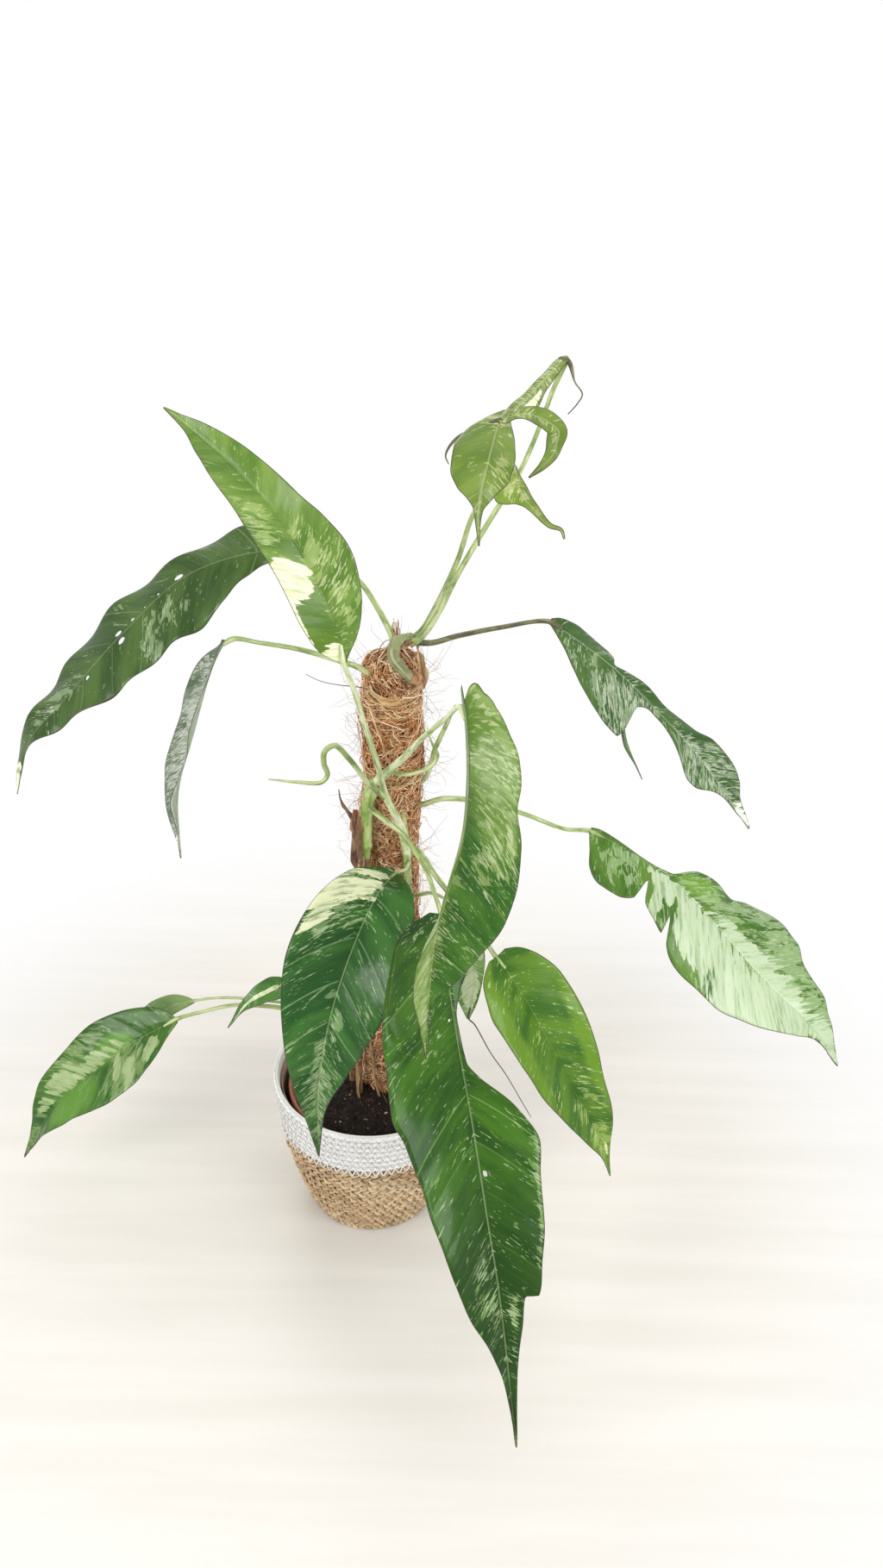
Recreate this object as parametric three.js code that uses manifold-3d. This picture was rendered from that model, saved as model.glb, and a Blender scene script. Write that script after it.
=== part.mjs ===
// A climbing aroid with cream-marked leaves, potted with its coir pole in a two-tone basket.
// Millimetres, +Z up. The origin is the middle of the basket's foot, on the surface it stands on.
// +X is to the right and -Y is towards the viewer.

import * as THREE from 'three';
import { mergeVertices } from 'three/addons/utils/BufferGeometryUtils.js';
import Module from 'manifold-3d';

const wasm = await Module();
wasm.setup();

// Driving sizes

const GAP = 0.3;                 // clearance between pieces that touch
const BASKET_HEIGHT = 130;
const BASKET_RIM_RADIUS = 79;    // a basket for pots of 15 to 16 cm
const BASKET_WALL = 5;
const BAND_HEIGHT = 40;          // the white rows at the rim
const BRAID_ROW = 9;             // one sewn row of braid
const BRAID_RELIEF = 1.1;        // depth of the groove between rows
const BASKET_SEGMENTS = 28;
const LINER_WALL = 0.8;
const LINER_TOP = 122;
const POT_WALL = 1.6;
const POT_TOP = 116;
const POT_RIM_RADIUS = 67;
const POT_FOOT_RADIUS = 42;
const SOIL_TOP = 105;
const POLE_RADIUS = 20;          // coir pole, 4 cm through
const POLE_TOP = 478;
const POLE_FOOT = 14;
const STAKE_RADIUS = 8;
const LEAF_THICKNESS = 0.8;
const KEEL_DEPTH = 0.9;          // the midrib stands this far below the blade
const STEM_SIDES = 5;

// The pole leans slightly to the right as it rises.
const poleAxis = (z) => new THREE.Vector2(7 + 0.0211 * z, 18);

// Small tools

const vec = (p) => new THREE.Vector3(p[0], p[1], p[2]);

// A repeatable draw between 0 and 1.
function seeded(seed) {
  let state = seed;
  return () => {
    state = (state * 1664525 + 1013904223) % 4294967296;
    return state / 4294967296;
  };
}

// Straight lines between rows of [t, value, ...].
function ramp(table, t) {
  if (t <= table[0][0]) return table[0].slice(1);
  for (let i = 1; i < table.length; i += 1) {
    const a = table[i - 1];
    const b = table[i];
    if (t <= b[0]) {
      const k = (t - a[0]) / (b[0] - a[0]);
      return a.slice(1).map((value, j) => value * (1 - k) + b[j + 1] * k);
    }
  }
  return table[table.length - 1].slice(1);
}

// A round line through rows of [t, value] that never overshoots them.
function outlineAt(table, t) {
  const last = table.length - 1;
  if (t <= table[0][0]) return table[0][1];
  if (t >= table[last][0]) return table[last][1];
  let i = 0;
  while (table[i + 1][0] <= t) i += 1;
  const rise = (a, b) => (table[b][1] - table[a][1]) / (table[b][0] - table[a][0]);
  const slope = (j) => {
    if (j === 0) return rise(0, 1);
    if (j === last) return rise(last - 1, last);
    const before = rise(j - 1, j);
    const after = rise(j, j + 1);
    return before * after <= 0 ? 0 : (2 * before * after) / (before + after);
  };
  const h = table[i + 1][0] - table[i][0];
  const k = (t - table[i][0]) / h;
  const k2 = k * k;
  const k3 = k2 * k;
  return table[i][1] * (1 - 3 * k2 + 2 * k3) + table[i + 1][1] * (3 * k2 - 2 * k3)
    + slope(i) * h * (k - 2 * k2 + k3) + slope(i + 1) * h * (k3 - k2);
}

// A smooth curve through points, read by its share of the length, and straight beyond its ends.
class Rail {
  constructor(points) {
    this.curve = new THREE.CatmullRomCurve3(points.map(vec), false, 'centripetal');
    this.curve.arcLengthDivisions = 400;
    this.length = this.curve.getLength();
  }

  at(u) {
    const inside = THREE.MathUtils.clamp(u, 0, 1);
    const point = this.curve.getPointAt(inside);
    return point.addScaledVector(this.tangent(inside), (u - inside) * this.length);
  }

  tangent(u) {
    const a = this.curve.getPointAt(Math.min(Math.max(u - 0.02, 0), 0.98));
    const b = this.curve.getPointAt(Math.max(Math.min(u + 0.02, 1), 0.02));
    return b.sub(a).normalize();
  }
}

// Solids

function solidFrom(positions, triangles) {
  const geometry = new THREE.BufferGeometry();
  geometry.setAttribute('position', new THREE.Float32BufferAttribute(positions, 3));
  geometry.setIndex(triangles);
  const merged = mergeVertices(geometry, 1e-4);
  const index = Array.from(merged.index.array);
  const kept = [];
  for (let i = 0; i < index.length; i += 3) {
    const [a, b, c] = index.slice(i, i + 3);
    if (a !== b && b !== c && c !== a) kept.push(a, b, c);
  }
  const vertices = merged.attributes.position.array;
  let volume = 0;
  const corner = (i) => new THREE.Vector3().fromArray(vertices, kept[i] * 3);
  for (let i = 0; i < kept.length; i += 3) {
    volume += corner(i).dot(corner(i + 1).cross(corner(i + 2)));
  }
  if (volume < 0) kept.reverse();
  return new wasm.Manifold(new wasm.Mesh({
    numProp: 3,
    vertProperties: new Float32Array(vertices),
    triVerts: new Uint32Array(kept),
  }));
}

// Closes a stack of rings, each with as many points, with a fan at either end.
function ringSolid(rings) {
  const count = rings[0].length;
  const positions = rings.flat().flatMap((p) => p.toArray());
  const triangles = [];
  const fan = (ring, turned) => {
    const middle = rings[ring].reduce((sum, p) => sum.add(p), new THREE.Vector3()).divideScalar(count);
    const hub = positions.length / 3;
    positions.push(...middle.toArray());
    for (let j = 0; j < count; j += 1) {
      const a = ring * count + j;
      const b = ring * count + ((j + 1) % count);
      triangles.push(...(turned ? [hub, b, a] : [hub, a, b]));
    }
  };
  fan(0, true);
  for (let i = 0; i + 1 < rings.length; i += 1) {
    for (let j = 0; j < count; j += 1) {
      const a = i * count + j;
      const b = i * count + ((j + 1) % count);
      triangles.push(a, b, b + count, a, b + count, a + count);
    }
  }
  fan(rings.length - 1, false);
  return solidFrom(positions, triangles);
}

// A ring of points round the upright axis through (x, y), at height z.
function levelRing(x, y, z, radius, count) {
  return Array.from({ length: count }, (_, j) => {
    const turn = (j / count) * Math.PI * 2;
    const r = typeof radius === 'function' ? radius(turn) : radius;
    return new THREE.Vector3(x + r * Math.cos(turn), y + r * Math.sin(turn), z);
  });
}

// A solid turned about the upright axis from a closed outline of [radius, height].
function turned(outline, segments) {
  const points = outline.map(([r, z]) => new THREE.Vector2(r, z));
  const geometry = new THREE.LatheGeometry(points, segments).rotateX(Math.PI / 2);
  geometry.deleteAttribute('normal');
  geometry.deleteAttribute('uv');
  return solidFrom(Array.from(geometry.attributes.position.array), Array.from(geometry.index.array));
}

// A round stem along points; radii are rows of [share of the length, radius].
function stem(points, radii, steps, sides = STEM_SIDES, extra = 0) {
  const rail = new Rail(points);
  const rings = [];
  let across = Math.abs(rail.tangent(0).z) > 0.8 ? new THREE.Vector3(1, 0, 0) : new THREE.Vector3(0, 0, 1);
  for (let i = 0; i <= steps; i += 1) {
    const u = i / steps;
    const along = rail.tangent(u);
    across = across.clone().addScaledVector(along, -across.dot(along)).normalize();
    const up = new THREE.Vector3().crossVectors(along, across);
    const radius = ramp(radii, u)[0] + extra;
    const middle = rail.at(u);
    rings.push(Array.from({ length: sides }, (_, j) => {
      const turn = (j / sides) * Math.PI * 2;
      return middle.clone()
        .addScaledVector(across, radius * Math.cos(turn))
        .addScaledVector(up, radius * Math.sin(turn));
    }));
  }
  return ringSolid(rings);
}

// Lateral veins leave the midrib backwards at the foot of a blade and forwards further on.
const VEIN_SWEEP = [[0, -0.3], [0.3, 0.35], [0.8, 0.45], [1, 0.2]];
const COLUMNS = [0, 0.55, 1];
const SHORTEST_STEP = 0.03;      // between two stations, as a share of the midrib
const LONGEST_STEP = 0.13;
const CUT_STEEPNESS = 1.3;       // a change of half width this steep is a cut

// A leaf blade: a midrib, the way its face looks, and a half width on either side.
class Blade {
  constructor(spec) {
    this.rail = new Rail(spec.mid);
    this.face = spec.face;
    this.right = spec.right;
    this.left = spec.left;
    this.foldRight = spec.foldRight ?? spec.fold ?? [[0, 20], [1, 20]];
    this.foldLeft = spec.foldLeft ?? spec.fold ?? [[0, 20], [1, 20]];
    this.sweep = spec.sweep ?? VEIN_SWEEP;
    this.droop = spec.droop ?? 3;
    this.wave = spec.wave ?? [0, 1, 0];
  }

  frame(u) {
    const along = this.rail.tangent(u);
    const face = new THREE.Vector3().fromArray(ramp(this.face, u));
    face.addScaledVector(along, -face.dot(along)).normalize();
    return { face, side: new THREE.Vector3().crossVectors(along, face) };
  }

  // A point on the vein that leaves the midrib at u0, a share q of the way out,
  // with the direction that its half of the blade faces.
  point(u0, hand, q) {
    const length = this.rail.length;
    const out = q * outlineAt(hand > 0 ? this.right : this.left, u0);
    const swept = out * ramp(this.sweep, u0)[0] * (0.6 + out / 110);
    const u = u0 + Math.min(swept, (1 - u0) * length * 0.7 * q) / length;
    const { face, side } = this.frame(u);
    const fold = THREE.MathUtils.degToRad(ramp(hand > 0 ? this.foldRight : this.foldLeft, u0)[0]);
    const [height, count, start] = this.wave;
    const fade = Math.min(1, (1 - u0) * 5);
    const turn = 2 * Math.PI * (count * u0 + start + (hand > 0 ? 0.37 : 0));
    const lift = out * Math.sin(fold) - this.droop * (out / 40) ** 2
      + height * fade * q * q * Math.sin(turn);
    const place = this.rail.at(u)
      .addScaledVector(side, hand * out * Math.cos(fold))
      .addScaledVector(face, lift);
    const facing = q === 0 ? face.clone() : face.clone().multiplyScalar(Math.cos(fold))
      .addScaledVector(side, -hand * Math.sin(fold));
    return { place, facing };
  }

  // Stations along the midrib: rows that lie close together are kept only at a cut.
  stations() {
    const rows = [...this.right, ...this.left].map((row) => row[0]).sort((a, b) => a - b);
    const kept = [0];
    rows.forEach((u) => {
      const from = kept[kept.length - 1];
      const gap = u - from;
      const steepest = Math.max(...[this.right, this.left].map((side) => (
        Math.abs(outlineAt(side, u) - outlineAt(side, from)))));
      const cut = gap > 0.009 && steepest > CUT_STEEPNESS * gap * this.rail.length;
      if (gap >= SHORTEST_STEP || cut) {
        const parts = Math.max(1, Math.round(gap / LONGEST_STEP));
        for (let k = 1; k <= parts; k += 1) kept.push(from + (gap * k) / parts);
      }
    });
    kept[kept.length - 1] = 1;
    return kept;
  }

  // Both faces carry the same triangles, so a waved blade never crosses itself.
  solid() {
    const across = [...COLUMNS.slice(1).reverse().map((q) => [-1, q]), [1, 0],
      ...COLUMNS.slice(1).map((q) => [1, q])];
    const stations = this.stations();
    const columns = across.length;
    const positions = [];
    const bottoms = [];
    stations.forEach((u0) => {
      across.forEach(([hand, q]) => {
        const atTip = u0 === 1;
        const { place, facing } = this.point(u0, hand, atTip ? 0 : q);
        const keel = q === 0 ? KEEL_DEPTH * (1 - 0.8 * u0) : 0;
        positions.push(...place.toArray());
        bottoms.push(...place.addScaledVector(facing, -LEAF_THICKNESS - (atTip ? 0 : keel)).toArray());
      });
    });
    const under = positions.length / 3;
    positions.push(...bottoms);
    const triangles = [];
    const quad = (a, b, c, d) => triangles.push(a, b, c, a, c, d);
    for (let i = 0; i + 1 < stations.length; i += 1) {
      for (let j = 0; j + 1 < columns; j += 1) {
        const a = i * columns + j;
        quad(a, a + 1, a + 1 + columns, a + columns);
        triangles.push(a + under, a + 1 + columns + under, a + 1 + under);
        triangles.push(a + under, a + columns + under, a + 1 + columns + under);
      }
      const first = i * columns;
      const last = first + columns - 1;
      quad(first, first + columns, first + columns + under, first + under);
      quad(last + columns, last, last + under, last + columns + under);
    }
    for (let j = 0; j + 1 < columns; j += 1) quad(j + 1, j, j + under, j + 1 + under);
    return solidFrom(positions, triangles);
  }
}

// The largest body of a solid; a cut may leave loose scraps.
function largest(solid) {
  const bodies = solid.decompose();
  bodies.sort((a, b) => b.volume() - a.volume());
  return bodies[0];
}

const joined = (solids) => solids.reduce((sum, solid) => sum.add(solid));

// Colours and finishes

const finish = (color, roughness) => new THREE.MeshStandardMaterial({ color, roughness, metalness: 0 });
const FINISH = {
  leafFresh: finish('#7fa648', 0.4),
  leafDeep: finish('#2f6b2c', 0.35),
  leafPale: finish('#9dba7c', 0.4),
  stem: finish('#8da05c', 0.45),
  bark: finish('#9a8a52', 0.6),
  dry: finish('#8a5c3c', 0.8),
  coir: finish('#a5734f', 0.95),
  twine: finish('#c99a63', 0.9),
  wood: finish('#c7a77a', 0.8),
  jute: finish('#cfae7e', 0.9),
  cotton: finish('#efece6', 0.9),
  liner: finish('#3a3936', 0.4),
  clay: finish('#8d5a45', 0.5),
  soil: finish('#2b241f', 0.95),
};

const plant = new THREE.Group();
plant.name = 'potted_dragon_tail_plant';

function addNode(name, solid, material) {
  const mesh = solid.getMesh();
  const geometry = new THREE.BufferGeometry();
  geometry.setAttribute('position', new THREE.Float32BufferAttribute(mesh.vertProperties, 3));
  geometry.setIndex(Array.from(mesh.triVerts));
  const node = new THREE.Mesh(geometry, material);
  node.name = name;
  plant.add(node);
}

// Basket: jute rows below, white cotton rows at the rim

// Outer radius of the basket wall at a height, rounded into the flat foot.
const BASKET_SIDE = [[0, 48], [1.5, 50.5], [5, 52.5], [12, 55.5], [25, 60], [60, 69], [90, 75],
  [BASKET_HEIGHT, BASKET_RIM_RADIUS]];
const basketRadius = (z) => outlineAt(BASKET_SIDE, z);
const SEAM_HEIGHT = BASKET_HEIGHT - BAND_HEIGHT;

// Heights of grooves and crests, from low to high, each row bulging between its grooves.
function braidedSide(low, high) {
  const rows = Math.round((high - low) / BRAID_ROW);
  const side = [];
  for (let i = 0; i < rows; i += 1) {
    const z = low + ((high - low) * i) / rows;
    const middle = z + (high - low) / rows / 2;
    side.push([basketRadius(z) - BRAID_RELIEF, z], [basketRadius(middle), middle]);
  }
  side.push([basketRadius(high) - BRAID_RELIEF, high]);
  return side;
}

const basketFloor = BASKET_WALL;
const innerRadius = (z) => basketRadius(z) - BASKET_WALL;
const LOWEST_ROW = 8;
addNode('basket_jute_body', turned([
  [0, 0],
  [48, 0],
  [basketRadius(2.5), 2.5],
  ...braidedSide(LOWEST_ROW, SEAM_HEIGHT),
  [innerRadius(SEAM_HEIGHT), SEAM_HEIGHT],
  [innerRadius(40), 40],
  [innerRadius(14), 14],
  [innerRadius(basketFloor) - 2, basketFloor],
  [0, basketFloor],
], BASKET_SEGMENTS), FINISH.jute);

addNode('basket_white_band', turned([
  ...braidedSide(SEAM_HEIGHT + GAP, BASKET_HEIGHT),
  [innerRadius(BASKET_HEIGHT) + 0.8, BASKET_HEIGHT],
  [innerRadius(SEAM_HEIGHT), SEAM_HEIGHT + GAP],
  [basketRadius(SEAM_HEIGHT + GAP) - BRAID_RELIEF, SEAM_HEIGHT + GAP],
], BASKET_SEGMENTS), FINISH.cotton);

// Liner: a thin bag that lies against the wall

const linerRadius = (z) => innerRadius(z) - GAP - 0.4;
const linerFloor = basketFloor + GAP;
addNode('basket_liner', turned([
  [0, linerFloor],
  [linerRadius(basketFloor) - 3, linerFloor],
  [linerRadius(14), 14],
  [linerRadius(40), 40],
  [linerRadius(SEAM_HEIGHT), SEAM_HEIGHT],
  [linerRadius(LINER_TOP), LINER_TOP],
  [linerRadius(LINER_TOP) - LINER_WALL, LINER_TOP],
  [linerRadius(SEAM_HEIGHT) - LINER_WALL, SEAM_HEIGHT],
  [linerRadius(40) - LINER_WALL, 40],
  [linerRadius(14) - LINER_WALL, 14],
  [linerRadius(basketFloor) - 3.5, linerFloor + LINER_WALL],
  [0, linerFloor + LINER_WALL],
], 24), FINISH.liner);

// Nursery pot: a thin tapered pot with a rolled rim

const potFloor = linerFloor + LINER_WALL + GAP;
const potRadius = (z) => POT_FOOT_RADIUS + ((POT_RIM_RADIUS - 2.5 - POT_FOOT_RADIUS) * (z - potFloor))
  / (POT_TOP - potFloor);
addNode('nursery_pot', turned([
  [0, potFloor],
  [POT_FOOT_RADIUS, potFloor],
  [potRadius(POT_TOP - 8), POT_TOP - 8],
  [POT_RIM_RADIUS, POT_TOP - 7],
  [POT_RIM_RADIUS, POT_TOP],
  [POT_RIM_RADIUS - 3, POT_TOP],
  [potRadius(POT_TOP - 9) - POT_WALL, POT_TOP - 9],
  [POT_FOOT_RADIUS - POT_WALL, potFloor + POT_WALL],
  [0, potFloor + POT_WALL],
], 24), FINISH.clay);

// Vines, each with its nodes and short roots

const VINES = {
  main: {
    points: [[26, -2, 70], [25, -1, 108], [28, 0, 160], [31, 0, 220], [33, 1, 277], [34, -2, 318],
      [35, -1, 340], [38, 10, 368], [39, 18, 398], [39, 14, 433], [33, -5, 466], [25, -9, 478],
      [18, -5, 488], [22, 6, 492], [30, 11, 492]],
    radii: [[0, 3.4], [0.5, 3.6], [0.68, 3.8], [0.85, 4.6], [0.94, 4.8], [1, 4.2]],
    steps: 22,
  },
  front: {
    points: [[-9, -5, 72], [-10, -3, 108], [-10, -4, 140], [-8, -4, 200], [-6, -4, 252], [-4, -5, 310],
      [-2, -7, 347], [-1, -9, 369], [3, -12, 392], [6, -15, 399]],
    radii: [[0, 4.2], [0.3, 4], [0.6, 4.4], [0.9, 4.4], [1, 3.2]],
    steps: 12,
  },
  low: {
    points: [[-17, 11, 75], [-16, 11, 108], [-15, 11, 150], [-13, 11, 182], [-10, 10, 192]],
    radii: [[0, 3.2], [0.8, 3], [1, 2.2]],
    steps: 9,
  },
};

// Rings round the vines where leaves left them, and aerial roots that reach for the coir.
const JOINTS = {
  main: [[[33.5, -0.5, 300], 5], [[36, 3, 350], 5.2], [[39, 17, 408], 5.6], [[31, -6, 470], 6]],
  front: [[[-5, -5, 280], 5.4], [[-2, -7, 345], 5.6], [[2, -11, 388], 5.6]],
  low: [[[-15, 11, 146], 4.2]],
};
const ROOTS = {
  main: [[[30, 0, 205], [26, 2, 190], [24, 4, 172]]],
  front: [[[-8, -3, 205], [-3, -2, 180], [3, -4, 150], [5, -5, 100]], [[-4, -4, 300], [0, 0, 288], [2, 0, 276]]],
  low: [],
};

function joint([x, y, z], radius) {
  return ringSolid([[-2.6, 0.55], [0, 1], [2.6, 0.55]].map(([rise, share]) => (
    levelRing(x, y, z + rise, radius * share, 6))));
}

// extra widens the whole vine, to cut the clearance round it into what it touches.
function vine(name, extra = 0) {
  const { points, radii, steps } = VINES[name];
  const parts = [stem(points, radii, steps, 6, extra)];
  JOINTS[name].forEach(([at, radius]) => parts.push(joint(at, radius + extra)));
  ROOTS[name].forEach((route) => parts.push(stem(route, [[0, 1.5], [1, 0.8]], 4, 4, extra)));
  return joined(parts);
}

const vineRoom = Object.fromEntries(Object.keys(VINES).map((name) => [name, vine(name, GAP)]));
const allVineRoom = joined(Object.values(vineRoom));

// Coir pole: a wooden stake in a lumpy sleeve, tied twice with twine

const TIES = [388, 446];
const TIE_HALF = 3.2;
const TIE_DEPTH = 2.6;

addNode('pole_stake', ringSolid([POLE_FOOT, POLE_TOP - 16].map((z) => {
  const { x, y } = poleAxis(z);
  return levelRing(x, y, z, STAKE_RADIUS, 12);
})), FINISH.wood);

function coirRadius(z, turn, draw) {
  const tie = Math.min(...TIES.map((at) => Math.abs(z - at)));
  const pinch = TIE_DEPTH * Math.exp(-((Math.max(tie - TIE_HALF, 0) / 9) ** 2));
  const lumps = 1.1 * Math.sin(3 * turn + z / 19) + 0.8 * Math.sin(5 * turn - z / 11) + 1.2 * (draw - 0.5);
  const buried = z < SOIL_TOP + 6;
  const tied = tie <= TIE_HALF + 0.1;
  return POLE_RADIUS - 1.2 - pinch + (buried || tied ? 0 : lumps);
}

function coirSleeve() {
  const count = 20;
  const draw = seeded(7);
  const heights = [POLE_FOOT, SOIL_TOP + 5];
  for (let z = 124; z < POLE_TOP - 14; z += 17) {
    if (TIES.every((at) => Math.abs(z - at) > 2.2 * TIE_HALF)) heights.push(z);
  }
  TIES.forEach((at) => heights.push(at - TIE_HALF, at + TIE_HALF));
  const rows = heights.sort((a, b) => a - b);
  const hole = [POLE_TOP - 16 + GAP, POLE_FOOT].map((z) => {
    const { x, y } = poleAxis(z);
    return levelRing(x, y, z, STAKE_RADIUS + GAP, count);
  });
  const wall = rows.map((z) => {
    const { x, y } = poleAxis(z);
    return levelRing(x, y, z, (turn) => coirRadius(z, turn, draw()), count);
  });
  const dome = [[-11, 0.93], [-4, 0.72], [0, 0.36]].map(([drop, share]) => {
    const { x, y } = poleAxis(POLE_TOP);
    return levelRing(x, y, POLE_TOP + drop, (turn) => share * (POLE_RADIUS - 1 + 2.4 * (draw() - 0.5)), count);
  });
  return ringSolid([...hole, ...wall, ...dome]);
}

// The third leaf's petiole comes out of the coir, through a plain hole.
const PETIOLE = [[0, 2.6], [0.12, 2.1], [0.8, 1.5], [0.93, 1.8], [1, 1.3]];
const petioleSteps = (points) => points.length + 3;
const COIR_PETIOLE = [[3, 10, 466], [-8, 6, 474], [-18, 2, 479], [-43, -4, 489], [-70, -8, 495],
  [-86, -10, 498], [-93, -11, 494]];
const coirHole = stem(COIR_PETIOLE, PETIOLE, petioleSteps(COIR_PETIOLE), STEM_SIDES, GAP);
const sleeve = largest(coirSleeve().subtract(allVineRoom).subtract(coirHole));
addNode('coir_sleeve', sleeve, FINISH.coir);

// Two turns of twine in each pinch, lying over the coir and stopping at the vine.
TIES.forEach((at, i) => {
  const { x, y } = poleAxis(at);
  const inner = POLE_RADIUS - 1.2 - TIE_DEPTH + GAP;
  const profile = [];
  [-1.5, 1.5].forEach((rise) => {
    profile.push([inner + 1, at + rise - 1.4], [inner + 1.9, at + rise]);
  });
  profile.push([inner + 1, at + 2.9], [inner, at + 2.9], [inner, at - 2.9], profile[0]);
  const ring = turned(profile, 20).translate([x, y, 0]);
  addNode(`twine_tie_${i + 1}`, largest(ring.subtract(allVineRoom)), FINISH.twine);
});

Object.keys(VINES).forEach((name) => addNode(`vine_${name}`, vine(name), FINISH.stem));

// Soil: a crumbly top inside the nursery pot, with plain holes for the pole and the vines

function soilBody() {
  const draw = seeded(21);
  const count = 24;
  const floor = potFloor + POT_WALL + GAP;
  const radiusAt = (z) => potRadius(z) - POT_WALL - GAP - 0.6;
  const rough = (radius, z, height) => levelRing(0, 0, z, radius, count)
    .map((p) => p.setZ(z + height * (draw() - 0.5)));
  return ringSolid([
    levelRing(0, 0, floor, radiusAt(floor) - 1, count),
    levelRing(0, 0, SOIL_TOP - 6, radiusAt(SOIL_TOP - 6), count),
    levelRing(0, 0, SOIL_TOP - 2, radiusAt(SOIL_TOP - 4), count),
    rough(52, SOIL_TOP, 3.2),
    rough(38, SOIL_TOP + 0.5, 3.6),
    rough(20, SOIL_TOP + 1, 3),
    rough(6, SOIL_TOP + 1, 1.5),
  ]);
}

const poleRoom = ringSolid([POLE_FOOT - 2 * GAP, SOIL_TOP + 20].map((z) => {
  const { x, y } = poleAxis(z);
  return levelRing(x, y, z, POLE_RADIUS - 1.2 + GAP, 20);
}));
addNode('soil', largest(soilBody().subtract(poleRoom).subtract(allVineRoom)), FINISH.soil);

// Leaves. Right and left are as seen on the upper face with the tip pointing away;
// outlines are rows of [share of the midrib, half width], and a petiole runs root to blade.

const SHEATHED = [[0, 2.4], [0.1, 3.6], [0.3, 2.6], [0.5, 2], [0.9, 1.6], [0.95, 1.9], [1, 1.3]];
const SLIM = [[0, 1.9], [0.2, 1.4], [0.85, 1.1], [1, 1]];

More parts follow.
